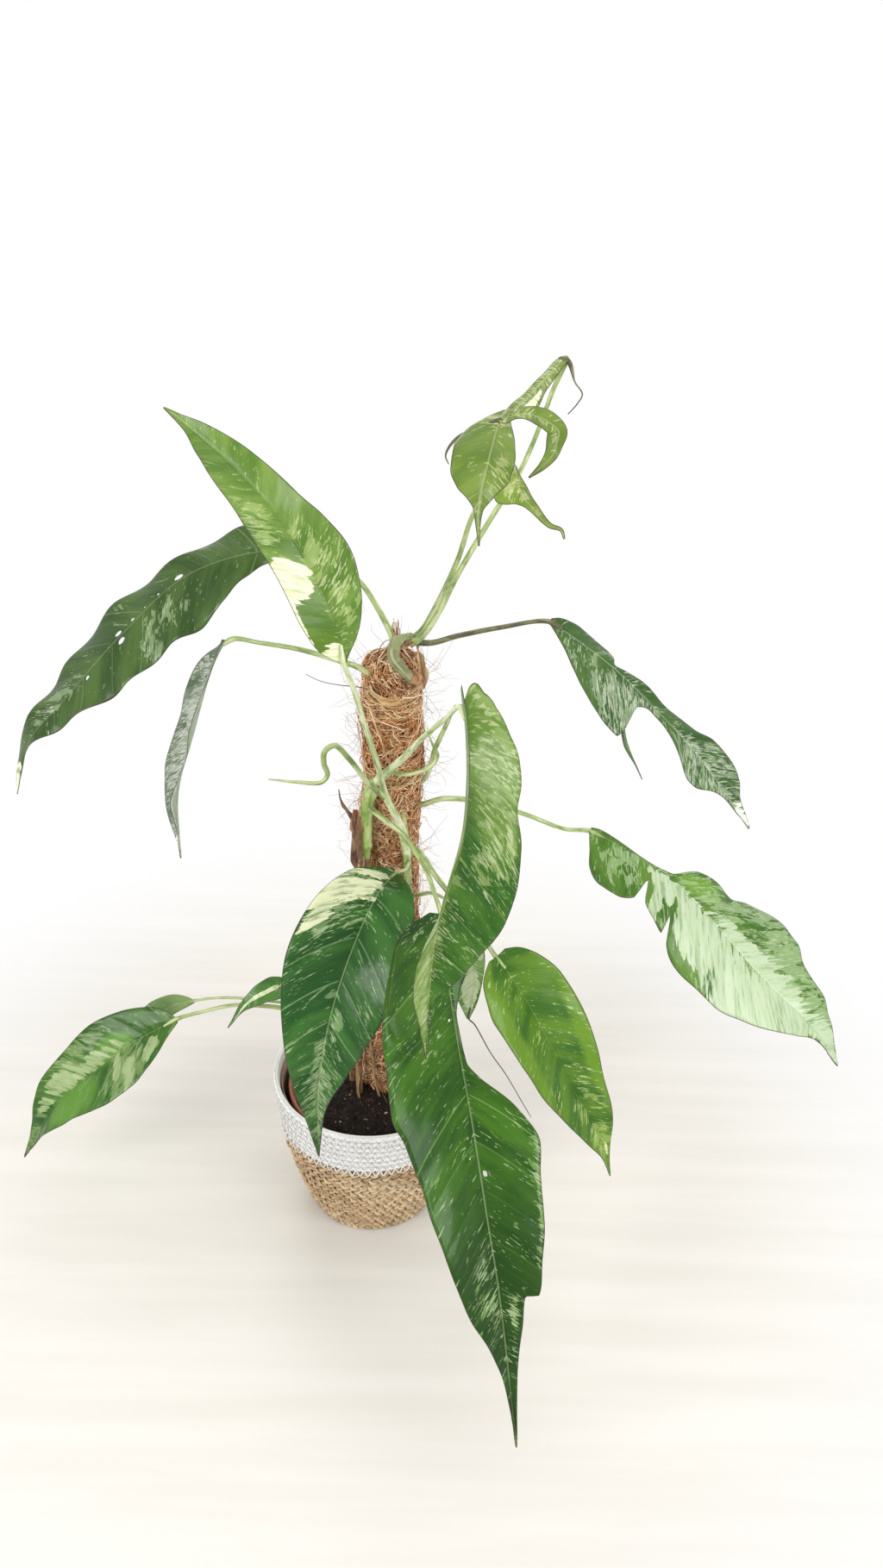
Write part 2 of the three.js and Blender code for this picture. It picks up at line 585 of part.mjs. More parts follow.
const LEAVES = [
  {
    name: 'leaf_01',
    color: FINISH.leafFresh,
    petiole: [[33, -3, 326], [26, -10, 348], [21, -20, 371], [13, -27, 395], [8, -31, 420], [1, -34, 447],
      [-6, -38, 476], [-12, -43, 498], [-13, -44, 509]],
    radii: SHEATHED,
    blades: [{
      mid: [[-12, -42, 497], [-17, -45, 525], [-43, -38, 578], [-75, -24, 611], [-119, -4, 642]],
      face: [[0, -0.1, -0.9, 0.3], [1, 0.3, -0.75, 0.6]],
      wave: [1.5, 2, 0],
      right: [[0, 2], [0.05, 7], [0.1, 13], [0.15, 19], [0.2, 24], [0.28, 28], [0.4, 23.5], [0.5, 18],
        [0.7, 14], [0.85, 8], [0.95, 2.5], [1, 0.5]],
      left: [[0, 2], [0.03, 8], [0.06, 13], [0.12, 18], [0.2, 21], [0.45, 22], [0.6, 19.5], [0.7, 17],
        [0.8, 11], [0.9, 3.5], [1, 0.5]],
    }],
  },
  {
    name: 'leaf_02',
    color: FINISH.leafDeep,
    petiole: [[19, 0, 490], [15, 9, 497], [7, 22, 507], [-6, 32, 523], [-26, 38, 536], [-45, 40, 541], [-57, 41, 541]],
    radii: PETIOLE,
    blades: [{
      mid: [[-45, 40, 542], [-81, 42, 539], [-125, 38, 523], [-169, 26, 485], [-206, 10, 446],
        [-235, -4, 414], [-244, -12, 380]],
      face: [[0, -0.1, -0.55, 0.83], [1, -0.7, -0.55, 0.45]],
      fold: [[0, -6], [1, -6]],
      wave: [2.6, 6, 0.1],
      right: [[0, 1], [0.05, 9], [0.1, 22], [0.15, 26], [0.25, 19], [0.35, 22], [0.45, 29], [0.6, 28],
        [0.7, 25], [0.8, 17], [0.9, 9], [1, 0.5]],
      left: [[0, 1], [0.05, 7], [0.1, 9], [0.15, 18], [0.2, 30], [0.3, 39], [0.4, 35], [0.55, 32], [0.65, 24],
        [0.75, 15], [0.85, 7], [0.93, 2.5], [1, 0.5]],
    }],
  },
  {
    name: 'leaf_03',
    color: FINISH.leafPale,
    petiole: COIR_PETIOLE,
    radii: PETIOLE,
    blades: [{
      mid: [[-92, -10, 497], [-101, -14, 479], [-115, -22, 435], [-127, -30, 394], [-128, -35, 345]],
      face: [[0, -0.9, -0.3, 0.3], [1, -0.9, -0.4, 0]],
      droop: 2,
      wave: [1, 3, 0.3],
      right: [[0, 1], [0.05, 6], [0.1, 12], [0.2, 20], [0.3, 22], [0.5, 21], [0.65, 19], [0.75, 15],
        [0.85, 10], [0.93, 4], [1, 0.5]],
      left: [[0, 1], [0.05, 6], [0.1, 12], [0.2, 19], [0.3, 21], [0.5, 20], [0.65, 18], [0.75, 14],
        [0.85, 9], [0.93, 4], [1, 0.5]],
    }],
  },
  {
    name: 'leaf_04',
    color: FINISH.leafPale,
    petiole: [[28, 4, 491], [35, 5, 496], [45, 7, 510], [58, 11, 537], [77, 18, 570], [95, 26, 599],
      [104, 31, 619], [114, 35, 648], [121, 31, 669], [117, 24, 668]],
    radii: PETIOLE,
    blades: [
      {
        mid: [[120, 28, 671], [113, 18, 665], [106, 8, 660], [96, -8, 653], [84, -30, 647], [80, -38, 644]],
        face: [[0, -0.5, -0.5, 0.7], [1, -0.2, -0.3, 0.9]],
        droop: 1,
        sweep: [[0, 0.4], [1, 0.2]],
        foldRight: [[0, 20], [1, 10]],
        foldLeft: [[0, -30], [1, -10]],
        right: [[0, 3], [0.1, 4], [0.5, 3], [1, 3]],
        left: [[0, 3], [0.2, 4.5], [0.4, 6.5], [0.68, 11], [0.85, 8], [1, 3.5]],
      },
      {
        mid: [[85, -27, 648], [79, -38, 643], [75, -54, 634], [73, -63, 628], [69, -73, 611], [68, -76, 601],
          [69, -78, 584]],
        face: [[0, 0, -0.35, 0.9], [0.4, 0, -0.75, 0.6], [1, 0.05, -0.95, 0.3]],
        fold: [[0, 12], [1, 12]],
        droop: 7,
        sweep: [[0, 0], [0.3, 0.5], [0.8, 0.5], [1, 0.2]],
        wave: [0.8, 2, 0],
        right: [[0, 3], [0.12, 9], [0.22, 17], [0.35, 21], [0.5, 20], [0.62, 14], [0.7, 7], [0.78, 2.5],
          [0.9, 1.2], [1, 0.5]],
        left: [[0, 3], [0.1, 6], [0.25, 12], [0.4, 15], [0.52, 14.5], [0.62, 10], [0.7, 6], [0.78, 2.5],
          [0.9, 1.2], [1, 0.5]],
      },
      {
        mid: [[83, -33, 646], [92, -33, 648], [100, -34, 647], [108, -37, 644], [113, -40, 640],
          [112, -43, 634], [110, -45, 628], [105, -46, 622], [97, -46, 615]],
        face: [[0, 0, -0.5, 0.85], [0.5, 0.1, -0.7, 0.7], [1, 0.4, -0.8, 0.5]],
        fold: [[0, 8], [1, 8]],
        droop: 1,
        sweep: [[0, 0.3], [1, 0.3]],
        right: [[0, 3], [0.12, 4.5], [0.3, 7], [0.5, 7], [0.7, 5], [0.85, 2.5], [1, 0.5]],
        left: [[0, 3], [0.12, 5], [0.3, 6.5], [0.5, 5], [0.65, 3.5], [0.85, 2], [1, 0.5]],
      },
    ],
    threads: [
      { points: [[80, -35, 645], [75, -38, 644], [66, -36, 639], [57, -30, 634], [51, -26, 627],
        [49, -24, 621], [51, -26, 617]], radii: [[0, 2], [0.5, 2], [0.8, 1.1], [1, 0.5]] },
      { points: [[117, 25, 669], [122, 29, 668], [124, 30, 665], [127, 28, 656], [132, 26, 649],
        [129, 26, 643], [124, 26, 637]], radii: [[0, 3], [0.25, 2.2], [0.45, 0.8], [1, 0.5]] },
    ],
  },
  {
    name: 'leaf_05',
    color: FINISH.leafPale,
    petiole: [[30, 12, 490], [42, 16, 488], [59, 14, 494], [87, 8, 503], [118, 0, 511], [127, -3, 507]],
    radii: PETIOLE,
    blades: [{
      mid: [[119, 0, 511], [140, -6, 499], [164, -14, 483], [187, -22, 463], [211, -30, 441],
        [232, -36, 417], [257, -44, 384]],
      face: [[0, 0.45, -0.45, 0.8], [1, 0.6, -0.55, 0.5]],
      fold: [[0, -8], [1, 5]],
      wave: [1.5, 3, 0.2],
      right: [[0, 1], [0.06, 7], [0.1, 12], [0.15, 21], [0.2, 30], [0.25, 36], [0.3, 39], [0.35, 38],
        [0.375, 30], [0.4, 9], [0.45, 4], [0.5, 5], [0.55, 9], [0.6, 15], [0.66, 21], [0.7, 20], [0.8, 8],
        [0.88, 2.5], [1, 0.5]],
      left: [[0, 1], [0.03, 7], [0.06, 11], [0.1, 14], [0.2, 13], [0.24, 10], [0.26, 4], [0.3, 6],
        [0.45, 10], [0.55, 14], [0.6, 15], [0.66, 21], [0.75, 23], [0.83, 20], [0.9, 10], [0.96, 4], [1, 0.5]],
    }],
    threads: [
      { points: [[166, -39, 460], [167, -43, 452], [169, -45, 445], [173, -45, 437], [177, -45, 430],
        [182, -45, 420]], radii: [[0, 2], [0.4, 2.4], [0.7, 0.9], [1, 0.5]] },
    ],
  },
  {
    name: 'leaf_06',
    color: FINISH.leafPale,
    petiole: [[39, 12, 366], [53, 6, 374], [81, 2, 374], [111, 0, 366], [139, -2, 356], [157, -6, 357],
      [167, -9, 353]],
    radii: PETIOLE,
    blades: [{
      mid: [[157, -6, 358], [193, -18, 342], [225, -30, 322], [257, -42, 291], [287, -54, 262],
        [318, -62, 234], [344, -66, 199]],
      face: [[0, 0.4, -0.45, 0.8], [1, 0.5, -0.6, 0.55]],
      fold: [[0, -8], [1, 5]],
      wave: [2, 4, 0.1],
      right: [[0, 2], [0.03, 13], [0.06, 25], [0.1, 33], [0.15, 35], [0.185, 30], [0.2, 12], [0.215, 28],
        [0.25, 34], [0.28, 37], [0.29, 22], [0.305, 40], [0.35, 46], [0.4, 48], [0.5, 46], [0.6, 37],
        [0.7, 27], [0.8, 14], [0.88, 4], [1, 0.5]],
      left: [[0, 1], [0.03, 3], [0.2, 4], [0.25, 6], [0.29, 24], [0.35, 32], [0.4, 34], [0.43, 44],
        [0.5, 52], [0.6, 50], [0.7, 36], [0.8, 24], [0.9, 15], [0.95, 8], [1, 0.5]],
    }],
  },
  {
    name: 'leaf_07',
    color: FINISH.leafFresh,
    petiole: [[35, -2, 336], [40, -12, 334], [47, -24, 330], [54, -34, 326], [73, -48, 309], [90, -60, 288],
      [98, -65, 279]],
    radii: PETIOLE,
    blades: [{
      mid: [[92, -62, 287], [110, -72, 264], [129, -84, 234], [147, -94, 200], [167, -101, 166],
        [181, -104, 123]],
      face: [[0, 0.3, -0.7, 0.65], [1, 0.5, -0.7, 0.4]],
      wave: [1, 3, 0],
      right: [[0, 8], [0.03, 17], [0.06, 24], [0.1, 29], [0.17, 34], [0.25, 34], [0.4, 30], [0.55, 24],
        [0.7, 17], [0.8, 11], [0.9, 4], [1, 0.5]],
      left: [[0, 8], [0.03, 16], [0.06, 21], [0.1, 26], [0.17, 32], [0.25, 33.5], [0.4, 30], [0.55, 25],
        [0.65, 20], [0.75, 13], [0.85, 6], [0.93, 2.5], [1, 0.5]],
    }],
  },
  {
    name: 'leaf_08',
    color: FINISH.leafFresh,
    petiole: [[2, -9, 391], [6, -14, 397], [12, -18, 405], [20, -26, 417], [27, -36, 429], [38, -56, 452],
      [52, -76, 475], [61, -90, 490], [64, -99, 486]],
    radii: SHEATHED,
    blades: [{
      mid: [[63, -92, 493], [65, -106, 479], [66, -120, 455], [64, -130, 426], [56, -140, 394],
        [49, -148, 359], [46, -152, 318], [45, -152, 273]],
      face: [[0, 0.55, -0.6, 0.6], [0.3, 0.55, -0.8, 0.2], [1, 0.4, -0.9, 0]],
      foldRight: [[0, 56], [0.5, 58], [0.62, 40], [0.75, 22], [1, 20]],
      sweep: [[0, -4.5], [0.035, -1.7], [0.07, -0.9], [0.12, -0.4], [0.3, 0.35], [0.8, 0.45], [1, 0.2]],
      wave: [1.5, 2, 0.4],
      left: [[0, 3.5], [0.035, 13], [0.07, 21], [0.12, 28.5], [0.17, 34.5], [0.21, 36], [0.25, 34],
        [0.3, 40.5], [0.38, 44], [0.48, 42], [0.55, 38], [0.62, 31], [0.7, 20.5], [0.76, 11], [0.8, 4], [0.9, 1.5], [1, 0.5]],
      right: [[0, 3], [0.05, 13], [0.15, 26], [0.3, 31], [0.5, 31], [0.6, 26.5], [0.7, 18.5], [0.8, 11.5],
        [0.9, 5], [1, 0.5]],
    }],
  },
  {
    name: 'leaf_09',
    color: FINISH.leafDeep,
    petiole: [[33, -3, 324], [29, -12, 331], [27, -24, 333], [22, -36, 338], [16, -47, 339]],
    radii: SLIM,
    blades: [{
      mid: [[21, -38, 338], [12, -58, 339], [0, -82, 324], [-11, -102, 300], [-21, -114, 264],
        [-28, -122, 214], [-29, -124, 157]],
      face: [[0, 0, -0.3, 0.95], [0.3, -0.1, -0.7, 0.7], [1, 0, -0.95, 0.3]],
      wave: [1, 3, 0],
      right: [[0, 3], [0.03, 11], [0.06, 17], [0.1, 25], [0.15, 33], [0.2, 38], [0.28, 41], [0.4, 37],
        [0.55, 28], [0.7, 18], [0.85, 8], [1, 0.5]],
      left: [[0, 3], [0.05, 12], [0.1, 24], [0.15, 34], [0.2, 40], [0.27, 42], [0.4, 37], [0.55, 27],
        [0.65, 19], [0.75, 10], [0.85, 4], [1, 0.5]],
    }],
  },
  {
    name: 'leaf_10',
    color: FINISH.leafDeep,
    petiole: [[0, -9, 374], [6, -20, 376], [14, -31, 376], [26, -42, 372], [34, -52, 366], [42, -62, 357],
      [49, -72, 342], [53, -77, 331], [55, -83, 320]],
    radii: PETIOLE,
    blades: [{
      mid: [[53, -76, 332], [57, -92, 301], [65, -118, 262], [75, -158, 230], [86, -200, 186],
        [94, -224, 150], [109, -262, 47]],
      face: [[0, 0.5, -0.6, 0.7], [0.35, 0.4, -0.7, 0.65], [1, 0.2, -0.8, 0.6]],
      wave: [1.5, 3, 0.3],
      right: [[0, 12], [0.03, 33], [0.06, 45], [0.1, 52.5], [0.15, 60], [0.22, 64], [0.3, 62], [0.35, 55],
        [0.42, 49], [0.5, 42], [0.6, 33.5], [0.7, 23], [0.8, 9.5], [0.87, 4], [1, 0.5]],
      left: [[0, 5], [0.03, 11], [0.06, 15.5], [0.1, 16.5], [0.15, 8], [0.2, 2.5], [0.28, 3], [0.31, 10],
        [0.35, 30], [0.4, 43], [0.46, 40], [0.55, 36.5], [0.62, 30], [0.68, 25], [0.69, 16], [0.75, 12.5],
        [0.85, 6], [0.92, 3], [1, 0.5]],
    }],
  },
  {
    name: 'leaf_11',
    color: FINISH.leafFresh,
    petiole: [[-15, 10, 152], [-49, 10, 172], [-71, 10, 178], [-86, 10, 180], [-110, 10, 180],
      [-130, 9, 175], [-155, 6, 168], [-165, 4, 162]],
    radii: PETIOLE,
    blades: [{
      mid: [[-155, 6, 167], [-192, 0, 147], [-223, -6, 122], [-256, -12, 92], [-287, -18, 38]],
      face: [[0, -0.3, -0.6, 0.7], [1, -0.6, -0.6, 0.5]],
      wave: [1, 3, 0],
      right: [[0, 2], [0.03, 9], [0.06, 15], [0.1, 20], [0.2, 28], [0.3, 32.5], [0.4, 31], [0.55, 26],
        [0.7, 18], [0.8, 11], [0.9, 5], [1, 0.5]],
      left: [[0, 2], [0.03, 7], [0.06, 13], [0.1, 22], [0.15, 31], [0.22, 37], [0.3, 38], [0.4, 35],
        [0.55, 27], [0.7, 19], [0.8, 11], [0.9, 3.5], [1, 0.5]],
    }],
  },
  {
    name: 'leaf_12',
    color: FINISH.leafPale,
    petiole: [[-15, 12, 140], [-30, 26, 150], [-52, 34, 158], [-94, 36, 165], [-126, 36, 166],
      [-147, 34, 164], [-155, 33, 162]],
    radii: SLIM,
    blades: [{
      mid: [[-147, 34, 164], [-164, 32, 160], [-187, 30, 145], [-210, 28, 123]],
      face: [[0, -0.1, -0.3, 0.9], [1, -0.5, -0.3, 0.8]],
      fold: [[0, 12], [1, 12]],
      droop: 2,
      right: [[0, 1], [0.1, 6], [0.25, 11], [0.45, 13], [0.65, 10], [0.85, 4], [1, 0.5]],
      left: [[0, 1], [0.1, 6], [0.25, 11], [0.45, 13], [0.65, 10], [0.85, 4], [1, 0.5]],
    }],
  },
  {
    name: 'leaf_13',
    color: FINISH.leafFresh,
    petiole: [[-13, 10, 182], [-27, 4, 188], [-41, 7, 197], [-65, 14, 203], [-72, 10, 200]],
    radii: SLIM,
    blades: [{
      mid: [[-65, 14, 202], [-81, 6, 197], [-95, 2, 190], [-113, -2, 167]],
      face: [[0, -0.1, -0.6, 0.75], [1, -0.6, -0.5, 0.6]],
      fold: [[0, 15], [1, 15]],
      droop: 1,
      right: [[0, 1], [0.1, 7], [0.2, 10], [0.35, 9], [0.5, 6], [0.7, 4], [0.9, 1.5], [1, 0.5]],
      left: [[0, 1], [0.1, 9], [0.17, 11], [0.3, 8], [0.5, 6], [0.65, 3], [0.8, 1.5], [1, 0.5]],
    }],
  },
  {
    name: 'leaf_14',
    color: FINISH.leafPale,
    petiole: [[33, 1, 294], [39, -3, 298], [47, -6, 301], [64, -10, 292], [68, -13, 281]],
    radii: SLIM,
    blades: [{
      mid: [[64, -10, 292], [72, -17, 268], [78, -23, 241], [77, -27, 220], [75, -29, 204]],
      face: [[0, 0.1, -0.8, 0.5], [1, 0.1, -0.9, 0.3]],
      fold: [[0, 12], [1, 12]],
      droop: 1,
      right: [[0, 2], [0.1, 10], [0.3, 16], [0.5, 16], [0.7, 13], [0.85, 8], [1, 1]],
      left: [[0, 2], [0.1, 8], [0.25, 12], [0.45, 10], [0.6, 7], [0.8, 5], [1, 1]],
    }],
    threads: [
      { points: [[76, -28, 214], [75, -29, 205], [80, -28, 198], [93, -28, 171], [106, -28, 149],
        [118, -28, 125], [128, -28, 105]], radii: [[0, 1.2], [0.2, 0.8], [1, 0.5]] },
    ],
  },
  {
    name: 'leaf_15',
    color: FINISH.leafPale,
    petiole: [[27, 14, 490], [35, 16, 496], [44, 20, 511], [58, 23, 543], [67, 20, 574], [79, 15, 596],
      [88, 9, 608], [91, 3, 609], [93, -2, 605]],
    radii: PETIOLE,
    blades: [{
      mid: [[91, 2, 609], [93, -6, 602], [97, -12, 595], [104, -16, 588], [113, -20, 580],
        [120, -22, 578], [122, -24, 573]],
      face: [[0, -0.3, -0.5, 0.8], [0.4, -0.2, -0.9, 0.4], [1, -0.3, -0.9, 0.4]],
      droop: 1,
      right: [[0, 1.5], [0.06, 8], [0.12, 13], [0.2, 17.5], [0.25, 17], [0.3, 12], [0.36, 6.5], [0.45, 3.5],
        [0.6, 2.2], [0.8, 1.4], [1, 0.6]],
      left: [[0, 1.5], [0.1, 3], [0.3, 5], [0.45, 4], [0.6, 2.7], [0.8, 1.6], [1, 0.6]],
    }],
  },
];

function petioleRoom(leaf) {
  return stem(leaf.petiole, leaf.radii, petioleSteps(leaf.petiole), STEM_SIDES, GAP);
}

// Blades, petiole and drip tips of a leaf grew as one piece.
function leafSolid(leaf) {
  const parts = [stem(leaf.petiole, leaf.radii, petioleSteps(leaf.petiole))];
  leaf.blades.forEach((blade) => parts.push(new Blade(blade).solid()));
  (leaf.threads ?? []).forEach(({ points, radii }) => parts.push(stem(points, radii, 2 * points.length, 4)));
  return joined(parts);
}

// Each leaf's root is cut back to the vine that carries it, and to the petioles beside it.
const rootRoom = [allVineRoom];
LEAVES.forEach((leaf) => {
  const cut = rootRoom.reduce((solid, room) => solid.subtract(room), leafSolid(leaf));
  addNode(leaf.name, largest(cut), leaf.color);
  rootRoom.push(petioleRoom(leaf));
});

// Young growth: a curled shoot, a tendril, a leaf still in its sheath, and a dried sheath

const YOUNG = [
  {
    name: 'curled_shoot',
    points: [[13, -25, 391], [8, -34, 401], [2, -40, 411], [-9, -48, 432], [-18, -53, 444], [-24, -54, 440],
      [-25, -53, 431], [-23, -52, 422], [-27, -53, 417], [-42, -57, 419], [-60, -60, 422]],
    radii: [[0, 2.2], [0.3, 1.8], [0.6, 2], [0.85, 1.3], [1, 0.5]],
    steps: 26,
    color: FINISH.leafFresh,
  },
  {
    name: 'tendril',
    points: [[15, -21, 410], [23, -28, 411], [32, -32, 414], [44, -32, 420], [48, -31, 427], [45, -33, 435],
      [42, -35, 444]],
    radii: [[0, 1.6], [0.6, 1.5], [1, 0.6]],
    steps: 16,
    color: FINISH.stem,
  },
  {
    name: 'sheathed_leaf',
    points: [[38, 15, 384], [42, 10, 395], [46, 8, 413], [52, 6, 429], [59, 2, 449]],
    radii: [[0, 1.8], [0.5, 2], [0.85, 1.6], [1, 0.5]],
    steps: 9,
    color: FINISH.stem,
  },
];
YOUNG.forEach(({ name, points, radii, steps, color }) => {
  const cut = rootRoom.reduce((solid, room) => solid.subtract(room), stem(points, radii, steps));
  addNode(name, largest(cut), color);
});

const driedSheath = new Blade({
  mid: [[-4, -7, 322], [-8, -13, 330], [-8, -15, 352], [-9, -15, 362], [-11, -15, 371], [-17, -15, 377],
    [-19, -15, 385]],
  face: [[0, -0.8, -0.6, 0], [1, -0.6, -0.8, 0.2]],
  fold: [[0, 35], [1, 35]],
  droop: 0,
  right: [[0, 2.5], [0.3, 3], [0.7, 2.2], [1, 0.5]],
  left: [[0, 2.5], [0.3, 3], [0.7, 2.2], [1, 0.5]],
}).solid();
addNode('dried_sheath', largest(driedSheath.subtract(allVineRoom)), FINISH.dry);

export default plant;
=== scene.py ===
# %% [markdown]
# # A potted dragon tail plant with cream-marked leaves
#
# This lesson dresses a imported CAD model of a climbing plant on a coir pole. The CAD solids give
# every place and size, and Blender adds what makes the plant look alive: veins, marbling, papery
# sheaths, curly coir and braided rows. The first cell loads the CAD model as a fixed frame.

# %% Load the frame
import math

import bpy
import numpy as np
from mathutils import Matrix, Vector


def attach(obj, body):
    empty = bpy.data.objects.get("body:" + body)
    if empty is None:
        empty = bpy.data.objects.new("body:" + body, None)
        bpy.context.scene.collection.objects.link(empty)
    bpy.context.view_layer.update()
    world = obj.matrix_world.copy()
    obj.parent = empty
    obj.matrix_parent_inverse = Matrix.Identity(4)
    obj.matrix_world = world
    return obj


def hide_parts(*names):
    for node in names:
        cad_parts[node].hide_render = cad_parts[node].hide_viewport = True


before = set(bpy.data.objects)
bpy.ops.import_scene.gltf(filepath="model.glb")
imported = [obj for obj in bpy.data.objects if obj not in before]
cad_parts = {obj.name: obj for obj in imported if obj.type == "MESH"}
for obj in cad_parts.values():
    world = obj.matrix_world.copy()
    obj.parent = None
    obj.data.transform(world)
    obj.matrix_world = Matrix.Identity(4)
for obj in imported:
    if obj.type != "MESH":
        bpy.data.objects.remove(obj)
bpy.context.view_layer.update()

MM = 0.001  # a millimetre in metres; the tables of shapes below are in millimetres

# %% [markdown]
# ## Camera
#
# The photograph looks down on the plant from a little above its tallest leaf. A camera with a
# tall sensor gets the same view when its lens, height, pitch and slight roll match.

# %% Camera
CAMERA_LENS = 27.03                     # mm, on a sensor that is 36 mm high
CAMERA_PLACE = (0.051, -0.724, 0.782)
CAMERA_PITCH = 61.5                     # degrees up from looking straight down
CAMERA_ROLL = 1.3


def new_object(name, data):
    made = bpy.data.objects.new(name, data)
    bpy.context.scene.collection.objects.link(made)
    return made


def add_camera():
    data = bpy.data.cameras.new("view")
    data.sensor_fit = "VERTICAL"
    data.sensor_height = 36
    data.lens = CAMERA_LENS
    data.clip_end = 40
    camera = new_object("view", data)
    tilt = (Matrix.Rotation(math.radians(CAMERA_PITCH), 4, "X")
            @ Matrix.Rotation(math.radians(CAMERA_ROLL), 4, "Z"))
    camera.matrix_world = Matrix.Translation(CAMERA_PLACE) @ tilt
    bpy.context.scene.camera = camera
    print("camera at", CAMERA_PLACE)


add_camera()

# %% [markdown]
# ## Short words for nodes
#
# Materials and Geometry Nodes are both trees of nodes. A small class that adds a node, fills its
# sockets and hands back an output keeps every later recipe to one line for each step.

# %% A class that wires nodes


class Wiring:
    """Adds nodes to a tree; each input is filled by a value or by another node's output."""

    def __init__(self, tree):
        self.tree = tree

    def node(self, kind, inputs=None, **settings):
        made = self.tree.nodes.new(kind)
        for key, value in settings.items():
            setattr(made, key, value)
        for key, value in (inputs or {}).items():
            if isinstance(value, bpy.types.NodeSocket):
                self.tree.links.new(value, made.inputs[key])
            else:
                made.inputs[key].default_value = value
        return made

    def geo(self, kind, inputs=None, **settings):
        """The first output of a Geometry Nodes step, whose type name always starts the same way."""
        return self.node("GeometryNode" + kind, inputs, **settings).outputs[0]

    def math(self, operation, a, b=0.0, c=0.0):
        return self.node("ShaderNodeMath", {0: a, 1: b, 2: c}, operation=operation).outputs[0]

    def plus(self, a, b):
        return self.math("ADD", a, b)

    def minus(self, a, b):
        return self.math("SUBTRACT", a, b)

    def times(self, a, b):
        return self.math("MULTIPLY", a, b)

    def times_plus(self, a, b, c):
        return self.math("MULTIPLY_ADD", a, b, c)

    def vector_math(self, operation, a, b=(0, 0, 0)):
        return self.node("ShaderNodeVectorMath", {0: a, 1: b}, operation=operation).outputs[0]

    def moved(self, vector, by):
        return self.vector_math("ADD", vector, by)

    def scaled(self, vector, factor):
        values = {0: vector, "Scale": factor}
        return self.node("ShaderNodeVectorMath", values, operation="SCALE").outputs[0]

    def combine(self, x, y, z):
        return self.node("ShaderNodeCombineXYZ", {0: x, 1: y, 2: z}).outputs[0]

    def split(self, vector):
        return self.node("ShaderNodeSeparateXYZ", {0: vector}).outputs

    def mix(self, factor, a, b):
        return self.node("ShaderNodeMix", {0: factor, 6: a, 7: b}, data_type="RGBA").outputs[2]

    def over(self, tint, mask, strength, other):
        """Another colour laid over a tint where a mask says, with some strength."""
        return self.mix(self.times(mask, strength), tint, other)

    def ramp(self, value, first, last, *between):
        """A colour for each number, from stops of (position, colour code)."""
        made = self.node("ShaderNodeValToRGB", {"Fac": value})
        stops = made.color_ramp.elements
        for stop, (position, code) in zip(stops, (first, last)):
            stop.position, stop.color = position, colour(code)
        for position, code in between:
            stops.new(position).color = colour(code)
        return made.outputs[0]

    def noise(self, vector, scale, detail=2.0, roughness=0.5, distortion=0.0):
        values = {"Vector": vector, "Scale": scale, "Detail": detail, "Roughness": roughness,
                  "Distortion": distortion}
        return self.node("ShaderNodeTexNoise", values).outputs[0]

    def step(self, value, low, high, to_low=0.0, to_high=1.0):
        """A soft step of value from low to high."""
        values = {0: value, 1: low, 2: high, 3: to_low, 4: to_high}
        return self.node("ShaderNodeMapRange", values, interpolation_type="SMOOTHSTEP").outputs[0]

    def field(self, name):
        """A number that the mesh keeps at each point, as a material reads it."""
        return self.node("ShaderNodeAttribute", attribute_name=name).outputs["Fac"]

    def keep(self, geometry, name, value, domain="POINT"):
        """Stores a number on geometry, under a name that materials can read."""
        values = {"Geometry": geometry, "Name": name, "Value": value}
        return self.geo("StoreNamedAttribute", values, data_type="FLOAT", domain=domain)

    def random(self, low, high, values):
        """A random number between low and high; values give its seed, and its ID if it has one."""
        values = {2: low, 3: high, **values}
        return self.node("FunctionNodeRandomValue", values, data_type="FLOAT").outputs[1]

    def random_vector(self, low, high, seed):
        values = {0: low, 1: high, "Seed": seed}
        return self.node("FunctionNodeRandomValue", values, data_type="FLOAT_VECTOR").outputs[0]

    def finished(self, geometry, material):
        """Real geometry in place of instances, in its material."""
        real = self.geo("RealizeInstances", {"Geometry": geometry})
        return self.geo("SetMaterial", {"Geometry": real, "Material": material})


# %% [markdown]
# ## Trees, colours and materials
#
# Every tree starts with its named inputs and ends in its named outputs. Colours are written as
# a painter's codes and turned into linear light. A material is a Principled shader, which is
# fed a tint, a roughness and a bump height, since these change over a natural surface.

# %% Trees and materials


def new_tree(name, kind, takes, gives):
    """A node group with named inputs and outputs; returns it, its wiring, and the two ends."""
    tree = bpy.data.node_groups.new(name, kind)
    for title, socket, value in takes:
        item = tree.interface.new_socket(title, in_out="INPUT", socket_type="NodeSocket" + socket)
        if value is not None:
            item.default_value = value
    for title, socket in gives:
        tree.interface.new_socket(title, in_out="OUTPUT", socket_type="NodeSocket" + socket)
    start = tree.nodes.new("NodeGroupInput").outputs
    end = tree.nodes.new("NodeGroupOutput").inputs
    return tree, Wiring(tree), start, end


def give(tree, end, **values):
    """Joins a tree's results to its named outputs, and returns the tree."""
    for key, value in values.items():
        tree.links.new(value, end[key])
    print("tree", tree.name, "with", len(tree.nodes), "nodes")
    return tree


def colour(code):
    """The linear colour of a painter's hex code."""
    parts = [int(code[i:i + 2], 16) / 255 for i in (1, 3, 5)]
    return tuple(c / 12.92 if c <= 0.04045 else ((c + 0.055) / 1.055) ** 2.4 for c in parts) + (1.0,)


